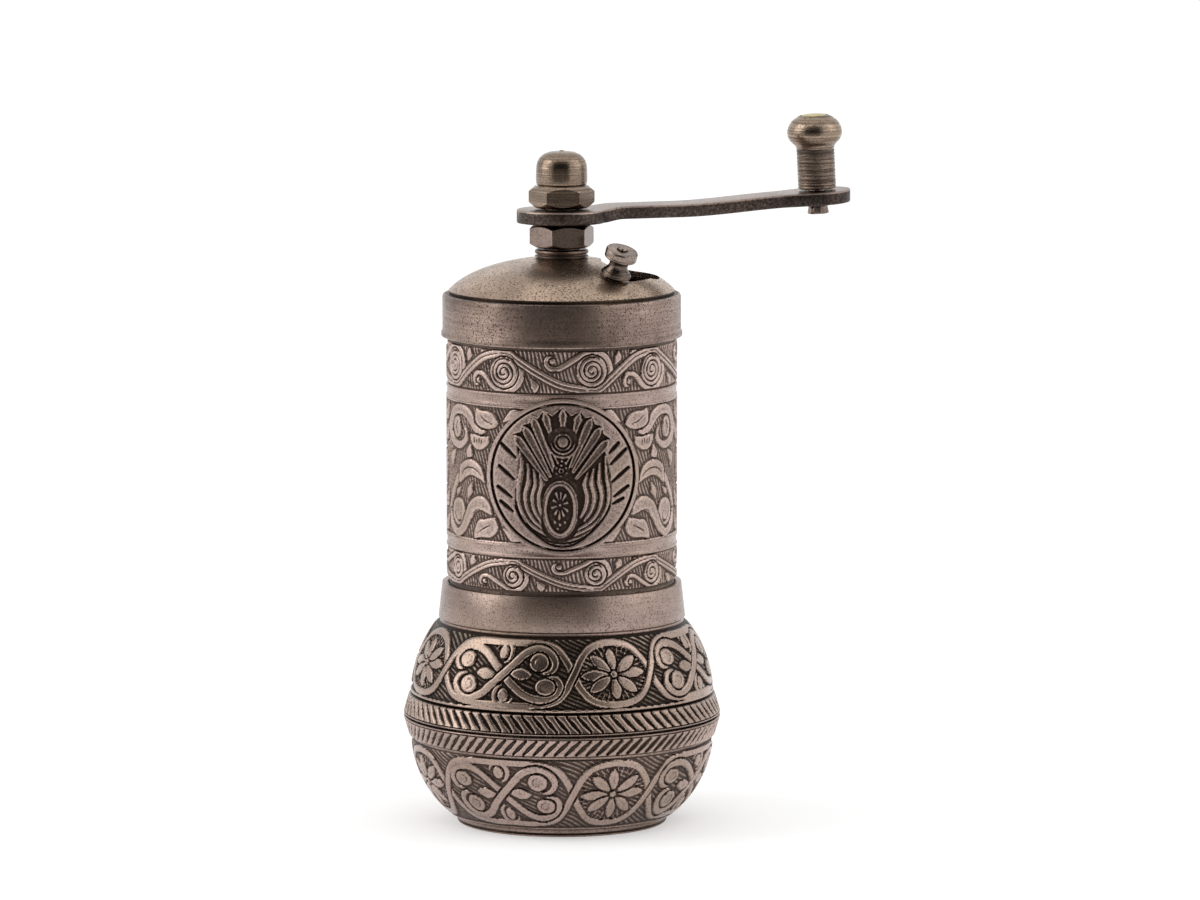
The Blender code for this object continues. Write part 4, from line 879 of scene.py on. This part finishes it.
for radius, start, end in ((2.3, 197, 343), (1.75, 190, 350)):
    sheet.lift(arc(5.3j, radius, start, end), (0.12, 0.2, 0.12), 0.95, 0.12)
sheet.lift(arc(5.3j, 1.2, 0, 360), 0.12, 1.0, 0.12)
sheet.ball(5.3j, 0.85, 0.7, 0.3)
sheet.clear((-0.25+1.0j, -0.25+1.01j), 1.15, 0.25)
for k in range(6):
    sheet.ball(-0.25+1.0j + 0.82 * np.exp(1j * pi * (k / 3 + 0.5)), 0.2, 1.0, 0.16)
sheet.lift(arc(-0.25+1.0j, 0.3, 0, 360), 0.12, 1.0, 0.12)
for spot in (-0.75+2.2j, -0.15+2.45j, 0.4+2.25j):
    sheet.ball(spot, 0.2, 0.95, 0.16)
pod = -0.42-4.85j
sheet.clear(through(pod + 2.2j, pod - 2.2j), 2.75, 0.25)
sheet.lift(arc(pod, 2.35, 0, 360, 3.95, 60), 0.4, 0.6, 0.14)
sheet.lift(arc(pod, 2.15, 0, 360, 3.75, 60), 0.2, 1.0, 0.12)
sheet.lift(arc(pod, 2.75, 30, 150, 4.3, 30), (0.05, 0.13, 0.05), 0.95, 0.12)
for k in range(10):
    way = cos(pi * k / 5 + 0.2) + 1.7j * sin(pi * k / 5 + 0.2)
    sheet.lift(pod + 0.7j + np.array([0.55 * way, (1.05 + 0.15 * (k % 2)) * way]), (0.1, 0.22), 0.95, 0.14)
for spot in (0.7j, -2.3j, -0.8-1.9j, 0.75-1.9j, -0.35-2.9j):
    sheet.ball(pod + spot, 0.2, 0.9, 0.16)
for a, b in ((-9.2+4.9j, -7.0+2.8j), (-9.5+1.5j, -7.2-0.5j), (-9.7-1.6j, -7.6-3.2j),
             (-9.3-3.8j, -7.4-5.3j), (8.3+5.0j, 6.9+3.5j), (9.4+4.0j, 7.1+1.8j),
             (9.8+1.2j, 7.3-0.9j), (9.75-1.6j, 7.6-3.1j), (9.0-3.4j, 7.4-4.2j)):
    sheet.cut((a, (a + b) / 2, b), (0.18, 0.24, 0.1), 0.8, 0.15)
rim = abs(sheet.spots.real / MEDALLION_REACH[0] + 1j * sheet.spots.imag / MEDALLION_REACH[1])
for low, high, height in ((0.95, 1.3, 1.05), (0.924, 0.944, 0.1)):
    sheet.blend(shade((rim - low) / 0.012) * shade((high - rim) / 0.012), height)
square = np.clip(sheet.face, 0, 1.1).reshape(len(marks), -1)
spokes = 440
reaches = np.concatenate([np.linspace(0.012, 0.62, 46), np.linspace(0.632, 1.0, 44)])
turns = 2 * pi * np.arange(spokes) / spokes
across = MEDALLION_REACH[0] * reaches[:, None] * np.cos(turns)
up = MEDALLION_REACH[1] * reaches[:, None] * np.sin(turns)


def read(chart):
    """The chart's values between its marks, at the spots of the round sheet."""
    x, y = (across + HALF) / GRAIN, (up + HALF) / GRAIN
    i, j = np.floor(x).astype(int), np.floor(y).astype(int)
    x, y = x - i, y - j
    return ((chart[j, i] * (1 - x) + chart[j, i + 1] * x) * (1 - y)
            + (chart[j + 1, i] * (1 - x) + chart[j + 1, i + 1] * x) * y)


face, rubbed = read(square), read(settle(square, 0.55))


def press(x, z, radius):
    """Places on the tube's front, seen from straight ahead, at a radius from the tube's axis."""
    return np.stack([x + MEDALLION[0], -np.sqrt(radius ** 2 - (x + MEDALLION[0]) ** 2), z + MEDALLION[1]], -1)


ground = TUBE - 0.15
none = np.zeros(spokes)
front = press(across, up, ground + face * MEDALLION_STAND)
pole = press(none, none, ground + face[0].mean() * MEDALLION_STAND)
edge = press(across[-1], up[-1], TUBE - 0.45)
behind = press(across[-1] * 0.5, up[-1] * 0.5, UNDER)
back = press(none, none, UNDER)
medallion = wrap("medallion", np.vstack([pole[None], front, edge[None], behind[None], back[None]]),
                 np.vstack([rubbed[:1], rubbed, rubbed[-1:], rubbed[-1:] * 0, rubbed[-1:] * 0]))
medal_plate = plated("medal_plate", bright=(0.46, 0.35, 0.31), dark=(0.04, 0.026, 0.02), relief=True,
                     speckle=0.4, stain=0.2, polish=0.32)
dress(medallion, medal_plate, "mill_body")


# Cap: a plain pressed skirt with a rolled rim, a stepped shoulder and a low dome, in one piece.
# A kidney-shaped fill hole goes through the dome, with a narrow tail in which the shutter's knob slides.

CAP_RIM = 74.3
SKIRT = 18.05
CAP_SHOULDER = 80.7
DOME = 17.2
DOME_SPAN = 18.4
DOME_DEPTH = 8.0
DOME_TOP = 86.25
DOME_WALL = 0.8
NECK_HOLE = 3.6
TAIL = 12.34
SHUTTER_ANGLE = radians(-50)


def dome(r, inset=0.0):
    """Height of the dome at a radius, on a surface that lies a little inside it."""
    return DOME_TOP - inset - DOME_DEPTH * (1 - sqrt(1 - (r / (DOME_SPAN - inset)) ** 2))


def slot(name, radius, half, start, end, low, high):
    """A bar that runs round the axis with half-round ends, to cut a slot: drawn, filled and drawn up."""
    steps = np.linspace(start, end, 22)
    ends = np.linspace(0, pi, 14)[1:-1]
    outline = np.concatenate([
        (radius + half) * np.exp(1j * steps), radius * np.exp(1j * end) + half * np.exp(1j * (end + ends)),
        (radius - half) * np.exp(1j * steps[::-1]),
        radius * np.exp(1j * start) + half * np.exp(1j * (start + pi + ends))])
    bar = fresh(bpy.ops.mesh.primitive_circle_add, name, vertices=len(outline), radius=MM, fill_type="NGON")
    for vertex, spot in zip(bar.data.vertices, outline):
        vertex.co = Vector((spot.real, spot.imag, low)) * MM
    bpy.ops.object.mode_set(mode="EDIT")
    bpy.ops.mesh.select_all(action="SELECT")
    bpy.ops.mesh.extrude_region_move(TRANSFORM_OT_translate={"value": (0, 0, (high - low) * MM)})
    seal()
    return bar


cap_dome = turn(
    "cap", [(r, dome(r)) for r in np.linspace(NECK_HOLE, DOME - 0.1, 22)] + [(DOME - 0.25, CAP_SHOULDER)]
    + measured(CAP_SHOULDER, (SKIRT - 0.4, 0), (SKIRT - 0.12, -0.12), (SKIRT, -0.45))
    + measured(CAP_RIM, (SKIRT, 1.15), (SKIRT + 0.06, 0.9), (SKIRT + 0.2, 0.62), (SKIRT + 0.2, 0.1),
               (SKIRT + 0.1, 0), (BORE, 0))
    + [(BORE, TUBE_TOP + 0.3), (TUBE_BORE, TUBE_TOP + 0.3)]
    + [(r, dome(r, DOME_WALL)) for r in np.linspace(TUBE_BORE, NECK_HOLE, 14)]
    + [(NECK_HOLE, dome(NECK_HOLE))], steps=180, edge=0)
carve(cap_dome, slot("fill_hole", 10.4, 4.4, radians(-8), radians(40), 70, 95))
carve(cap_dome, slot("fill_tail", TAIL, 1.8, SHUTTER_ANGLE, radians(-8), 70, 95))
soften(cap_dome, 0.1, 40)
cap_plate = plated("cap_plate", bright=(0.37, 0.272, 0.228), speckle=0.95, stain=0.8, turned=0.4, polish=0.27)
dress(cap_dome, cap_plate, "mill_body")
# Painted light: the dome, one piece with the skirt, gets a lighter and warmer copy of the cap's plate on its
# upward faces.
cap_dome.data.materials.append(plated("dome_painted_light", bright=(0.56, 0.415, 0.315), dark=(0.06, 0.043, 0.035),
                                      speckle=1.0, stain=0.6, polish=0.26))
for face in cap_dome.data.polygons:
    if face.center.z > (CAP_SHOULDER + 0.02) * MM:
        face.material_index = 1
# Painted shade on the step between the dome and the skirt.
paint_corner_shade(cap_dome, lambda r, z: DOME - 0.3 < r < SKIRT - 0.38 and CAP_SHOULDER - 0.05 < z < dome(DOME) + 0.06)
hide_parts("cap_dome")


# Neck, shutter and its knob: a ringed steel neck is peened through the dome and carries the crank's shaft.
# The shutter is a sheet sector that turns round it under the dome. Its turned knob is riveted on.

NECK_TOP = 87.4
STEEL_LOW = (0.03, 0.022, 0.02)
neck = turn("neck", measured(
    NECK_TOP, (2.75, -0.1), (2.85, 0), (3.7, 0), (4.0, -0.12), (4.1, -0.35), (4.0, -0.6), (3.75, -0.72),
    (3.75, -0.82), (4.0, -0.92), (4.1, -1.1)) + [
    (4.1, dome(4.1) + 0.3), (3.3, dome(3.3) + 0.3), (3.3, 84.0), (4.4, 84.0), (4.4, 83.4), (2.75, 83.4),
    (2.75, NECK_TOP - 0.1)], steps=96, edge=0.05)
dark_steel = plated("dark_steel", bright=(0.26, 0.19, 0.155), dark=STEEL_LOW, turned=0.9, polish=0.24)
dress(neck, dark_steel, "mill_body")
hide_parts("neck_bushing")
finish_nodes(dark_steel, "shaft")
finish_nodes(plated("shutter_sheet", bright=(0.38, 0.29, 0.25), stain=0.3), "shutter_plate")


def stand(piece, place, lean, around):
    """Tilt a piece made on the mill's axis, turn it round that axis and carry it to its place."""
    take(piece)
    piece.rotation_euler = (0, lean, around)
    piece.location = Vector(place) * MM
    bpy.ops.object.transform_apply(location=True, rotation=True, scale=True)


knob_radius = 12.5
knob_lean = atan2(DOME_DEPTH * knob_radius, DOME_SPAN * sqrt(DOME_SPAN ** 2 - knob_radius ** 2))
knob_seat = (knob_radius * cos(SHUTTER_ANGLE), knob_radius * sin(SHUTTER_ANGLE), dome(knob_radius))
shutter_knob = turn("shutter_knob", [
    (0.85, 4.5), (2.1, 4.5), (2.3, 4.45), (2.42, 4.3), (2.45, 4.1), (2.45, 3.5), (2.4, 3.42), (2.45, 3.34),
    (2.42, 3.15), (2.25, 3.02), (1.8, 2.94), (1.55, 2.75), (1.42, 2.4), (1.4, 2.0), (1.5, 1.6), (1.75, 1.3),
    (1.85, 1.15), (1.85, 1.08), (2.05, 1.0), (2.1, 0.85), (2.1, 0.7), (2.28, 0.62), (2.3, 0.5), (2.25, 0.33),
    (2.1, 0.3), (1.35, 0.3), (1.35, -0.9), (0.85, -0.9), (0.85, 4.5)], steps=72, edge=0.04)
stand(shutter_knob, knob_seat, knob_lean, SHUTTER_ANGLE)


def dress_below(piece, seat, top, height, finish):
    """Give the lower part of a turned piece a finish of its own, up to a height along its own axis."""
    piece.data.materials.append(finish)
    seat, along = Vector(seat) * MM, (Vector(top) - Vector(seat)).normalized()
    for face in piece.data.polygons:
        if (face.center - seat).dot(along) < height * MM:
            face.material_index = 1


knob_plate = plated("knob_plate", bright=(0.37, 0.29, 0.25), dark=(0.04, 0.03, 0.025), turned=0.4, polish=0.16,
                    bump=0.01)
dress(shutter_knob, knob_plate, "shutter")
knob_top = Vector(knob_seat) + Vector((cos(SHUTTER_ANGLE) * sin(knob_lean), sin(SHUTTER_ANGLE) * sin(knob_lean),
                                       cos(knob_lean)))
# Painted shade: the knob's neck and base, under its head, get a dark copy of its plate.
dress_below(shutter_knob, knob_seat, knob_top, 2.85,
            plated("knob_neck_painted_shade", bright=(0.15, 0.113, 0.097), dark=STEEL_LOW, turned=0.6, polish=0.16))
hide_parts("shutter_knob")
finish_nodes(knob_plate, "shutter_rivet")


# Crank: a lower hexagon nut, a pressed steel arm that climbs to its outer end, and an acorn nut on top.
# All three are locked to the shaft, and the arm's plate is lighter on top than on its sides and underside.

ARM_TURN = radians(18)
HEX = 5.0
SHAFT_HOLE = 2.7
TURNED_LOW = (0.035, 0.025, 0.02)


def hexagon(name, low, high, turned, crowned):
    """A hexagon nut: six sides, its corners taken off by a cone at both ends."""
    nut = fresh(bpy.ops.mesh.primitive_cylinder_add, name, vertices=6, radius=HEX * MM, depth=(high - low) * MM,
                location=(0, 0, (low + high) / 2 * MM), rotation=(0, 0, turned - pi / 6))
    bpy.ops.object.transform_apply(location=True, rotation=True, scale=True)
    flat = HEX * cos(pi / 6) - 0.3
    wide = HEX + 0.3
    drop = crowned * (wide - flat) / (HEX - flat)
    cone = turn(name + "_cone", [(0, low), (flat, low), (wide, low + drop), (wide, high - drop), (flat, high),
                                 (0, high)], steps=120, edge=0)
    carve(nut, cone, "INTERSECT")
    return nut


def drill(piece, radius, low, high):
    """Bore a piece on the mill's axis."""
    carve(piece, turn("drill", [(0, low), (radius, low), (radius, high), (0, high)], steps=64, edge=0))


lower_nut = hexagon("lower_nut", 87.7, 91.15, ARM_TURN + radians(-4.4), 0.6)
drill(lower_nut, SHAFT_HOLE, 86, 93)
soften(lower_nut, 0.06)
nut_steel = plated("nut_steel", bright=(0.245, 0.186, 0.163), dark=STEEL_LOW, stain=0.6, polish=0.12,
                   bump=0.006)
dress(lower_nut, nut_steel, "crank")
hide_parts("lower_hex_nut")

acorn = hexagon("acorn", 93.7, 97.0, ARM_TURN + radians(-15), 0.85)
crown_line = [(0, 102.35), (0.25, 102.35), (0.42, 102.22), (1.0, 102.2), (2.0, 102.06), (2.75, 101.74),
              (3.25, 101.32), (3.6, 100.8), (3.79, 100.2), (3.87, 99.3), (3.9, 98.3), (3.88, 97.6),
              (3.82, 97.3), (3.6, 97.05), (3.6, 95.4), (0, 95.4)]
crown = turn("acorn_crown", crown_line, steps=96, edge=0)
carve(acorn, crown, "UNION")
drill(acorn, SHAFT_HOLE, 92.5, 99.15)
soften(acorn, 0.06)
acorn_plate = plated("acorn_plate", bright=(0.37, 0.278, 0.21), dark=TURNED_LOW, turned=0.8,
                     polish=0.11, bump=0.01)
dress(acorn, acorn_plate, "crank")
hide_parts("acorn_nut")

ARM_LOW = 91.45
ARM_THICK = 1.95
BOSS = 6.8
CRANK = 41.1
DISC = 5.0
RISE = 1.75
STEP = 0.46
SLOPE = 0.05236


def arm_middle(x):
    """Height of the arm's middle: a short step off the boss, a slow climb and a straight end."""
    straight = CRANK - DISC
    level = RISE - DISC * sin(SLOPE)
    if x > straight:
        return ARM_LOW + ARM_THICK / 2 + level + (x - straight) * sin(SLOPE)
    climb = min(max((x - CRANK / 2 + DISC / 2) / (straight - CRANK / 2 + DISC / 2), 0.0), 1.0)
    return (ARM_LOW + ARM_THICK / 2 + STEP * shade((x - BOSS * 0.7) / (BOSS * 0.6) - 0.5)
            + (level - STEP) * climb * climb * (2.4 - 1.4 * climb))


def arm_half(x):
    """Half of the arm's width: a disc at each end, and a bar that swells into both."""
    if x < BOSS * 0.8:
        return sqrt(max(BOSS ** 2 - x * x, 0.0))
    if x > CRANK - DISC * 0.5:
        return sqrt(max(DISC ** 2 - (x - CRANK) ** 2, 0.0))
    near = (x - BOSS * 0.8) / (BOSS * 0.7)
    far = (CRANK - DISC * 0.5 - x) / (DISC * 1.2)
    return (3.4 + (BOSS * 0.6 - 3.4) * (1 - shade(near - 0.5)) ** 2
            + (DISC * sqrt(0.75) - 3.4) * (1 - shade(far - 0.5)) ** 2)


arm_stations = np.concatenate([
    -BOSS * np.cos(np.radians(np.linspace(3, 80, 14))), np.linspace(-0.7, BOSS * 0.78, 8),
    np.linspace(BOSS * 0.8, CRANK - DISC * 0.5, 50),
    CRANK + DISC * np.sin(np.radians(np.linspace(-28, 87, 20)))])
corner = np.radians(np.linspace(0, 90, 5))
arm_rows, arm_tone = [], []
for x in arm_stations:
    half, thick = max(arm_half(x), 0.3), ARM_THICK / 2
    round_off = min(0.3, half * 0.6)
    side = [(half - round_off + round_off * sin(t), thick - 0.3 + 0.3 * cos(t)) for t in corner]
    ring = side + [(y, -z) for y, z in side[::-1]]
    ring = ring + [(-y, z) for y, z in ring[::-1]]
    arm_rows.append([(x, y, arm_middle(x) + z) for y, z in ring])
    # The arm's top face gets a lighter plate than its sides and underside.
    arm_tone.append([0.95 if z > thick - 0.2 else 0.42 for y, z in ring])
for end in (0, -1):
    middle = np.array(arm_rows[end]).mean(0)
    shrunk = [middle + (np.array(spot) - middle) * 0.05 for spot in arm_rows[end]]
    for ring in (shrunk, [middle for spot in shrunk]):
        arm_rows.insert(0 if end == 0 else len(arm_rows), ring)
        arm_tone.insert(0, arm_tone[0])
crank_arm = wrap("crank_arm_bar", np.array(arm_rows, float), np.array(arm_tone), smooth=30)
stand(crank_arm, (0, 0, 0), 0, ARM_TURN)
drill(crank_arm, SHAFT_HOLE, 90, 95)
arm_plate = plated("arm_plate", bright=(0.34, 0.26, 0.225), dark=STEEL_LOW, relief=True, stain=0.4,
                   polish=0.28)
dress(crank_arm, arm_plate, "crank")
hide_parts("crank_arm")


# Crank knob: turned metal with fine lines round its stem and a flattened ball on top. It turns freely
# on a rivet through the arm's end, whose brass head is worn bright in the middle of the knob.

KNOB_SEAT = (39.0399, 12.6848, 95.1487)
KNOB_LEAN = -SLOPE
KNOB = 11.72
STEM = 2.9
PIN_UNDER = -2.25

lines = []
for z in np.linspace(6.35, 0.75, 12):
    lines += [(STEM, z + 0.13), (STEM - 0.08, z + 0.02), (STEM - 0.08, z - 0.02), (STEM, z - 0.13)]
crank_knob = turn("crank_knob_turned", measured(
    KNOB, (2.12, -1.0), (2.12, -0.22), (2.35, -0.3), (2.9, -0.62), (3.4, -1.0), (3.8, -1.5), (4.08, -2.1),
    (4.2, -2.75), (4.12, -3.4), (3.85, -3.98), (3.45, -4.42), (3.12, -4.72), (2.94, -5.0)) + lines + [
    (STEM, 0.45), (STEM - 0.12, 0.3), (1.55, 0.3)] + measured(KNOB, (1.55, -1.0), (2.12, -1.0)),
    steps=96, edge=0)
stand(crank_knob, KNOB_SEAT, KNOB_LEAN, ARM_TURN)
# Painted light and shade: the ball and its stem, one turned piece, get a lighter and a darker copy of one
# plate.
dress(crank_knob, plated("ball_painted_light", bright=(0.42, 0.315, 0.236), dark=TURNED_LOW, turned=0.9, polish=0.15,
                         bump=0.012), "crank_knob")
KNOB_UP = Vector(KNOB_SEAT) + Vector((-sin(SLOPE) * cos(ARM_TURN), -sin(SLOPE) * sin(ARM_TURN), cos(SLOPE)))
dress_below(crank_knob, KNOB_SEAT, KNOB_UP, 6.85, plated(
    "stem_painted_shade", bright=(0.28, 0.21, 0.168), dark=(0.03, 0.022, 0.018), turned=1.0, polish=0.2, bump=0.03))
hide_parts("crank_knob")

knob_pin = turn("knob_pin", measured(
    KNOB, (0, 0), (0.8, -0.02), (1.5, -0.11), (1.9, -0.2), (1.96, -0.3), (1.96, -0.7), (1.25, -0.7)) + measured(
    PIN_UNDER, (1.25, 0), (1.5, 0), (1.5, -0.4), (1.65, -1.1), (1.6, -1.3), (0, -1.3)), steps=64, edge=0.03)
stand(knob_pin, KNOB_SEAT, KNOB_LEAN, ARM_TURN)
dress(knob_pin, plain_metal("rivet_brass", (0.55, 0.46, 0.20), 0.3, 1400, 0.25), "crank")
dress_below(knob_pin, KNOB_SEAT, KNOB_UP, 5, nut_steel)
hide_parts("knob_rivet")


# Studio: a white floor and white surroundings, two soft lamps, and a dark screen behind the camera,
# which only the polished metal sees.


def straight(tree):
    """1 for what the camera and the polished metal see straight, 0 for the light that falls on things."""
    rays = add(tree, "LightPath", {})
    return add(tree, "Math", {0: rays["Is Camera Ray"], 1: rays["Is Glossy Ray"]}, operation="MAXIMUM")[0]


paper, tree = new_finish("paper")
tree.nodes.remove(tree.nodes["Principled BSDF"])
plain = add(tree, "BsdfDiffuse", {"Color": (0.88, 0.88, 0.88, 1)})[0]
scaled = add(tree, "Math", {0: straight(tree), 1: 0.37}, operation="MULTIPLY")[0]
both = add(tree, "AddShader", {0: plain, 1: add(tree, "Emission", {"Strength": scaled})[0]})[0]
feed(tree.nodes["Material Output"], {"Surface": both})
floor = fresh(bpy.ops.mesh.primitive_plane_add, "floor", size=6, location=(0, 0, 0))
floor.data.materials.append(paper)

black, tree = new_finish("screen_cloth")
height = add(tree, "SeparateXYZ", {"Vector": add(tree, "TexCoord", {})["Object"]})["Z"]
cloth = add(tree, "ValToRGB", {"Fac": height})["Color"]
stops = cloth.node.color_ramp.elements
for place, tone in ((0.012, 0.2), (0.042, 0.2), (0.052, 0.4), (0.1, 0.3), (0.14, 0.03), (0.25, 0.03),
                    (0.31, 0.2)):
    stops.new(place).color = (tone, tone * 0.95, tone * 0.9, 1)
stops[0].color = (0.09, 0.085, 0.08, 1)
stops[-1].color = (0.2, 0.19, 0.18, 1)
feed(tree.nodes["Principled BSDF"], {"Roughness": 1.0, "Base Color": cloth})
screen = fresh(bpy.ops.mesh.primitive_plane_add, "dark_screen", size=1, location=(-0.03, -0.25, 0.24),
               rotation=(pi / 2, 0, 0))
screen.data.materials.append(black)
screen.scale = (0.44, 0.46, 1)
bpy.ops.object.transform_apply(location=True, rotation=True, scale=True)
screen.visible_camera = screen.visible_shadow = screen.visible_diffuse = False

world = bpy.data.worlds.new("studio")
bpy.context.scene.world = world
world.use_nodes = True
tree = world.node_tree
level = add(tree, "MapRange", {"To Min": 0.75, "To Max": 1.0, "Value": straight(tree)})["Result"]
feed(tree.nodes["Background"], {"Color": (1, 1, 1, 1), "Strength": level})


def lamp(name, place, size, power, aim=(0, 0, 0.05)):
    """A soft lamp that points at the mill."""
    light = fresh(bpy.ops.object.light_add, name, type="AREA", location=place)
    light.data.shape = "RECTANGLE"
    light.data.size, light.data.size_y = size
    light.data.energy = power
    light.rotation_euler = (Vector(aim) - Vector(place)).to_track_quat("-Z", "Y").to_euler()


lamp("left_lamp", (-0.9, -0.1, 0.55), (0.6, 0.9), 2.5)
lamp("right_lamp", (0.95, -0.1, 0.6), (0.6, 0.9), 1.2)

camera = fresh(bpy.ops.object.camera_add, "camera", location=(0, -1.0992, 0.1956),
               rotation=(radians(82.8), 0, radians(-0.302)))
camera.data.sensor_width = 36
camera.data.lens = 219.18
camera.data.clip_start = 0.01
bpy.context.scene.camera = camera
bpy.context.scene.view_settings.view_transform = "Standard"
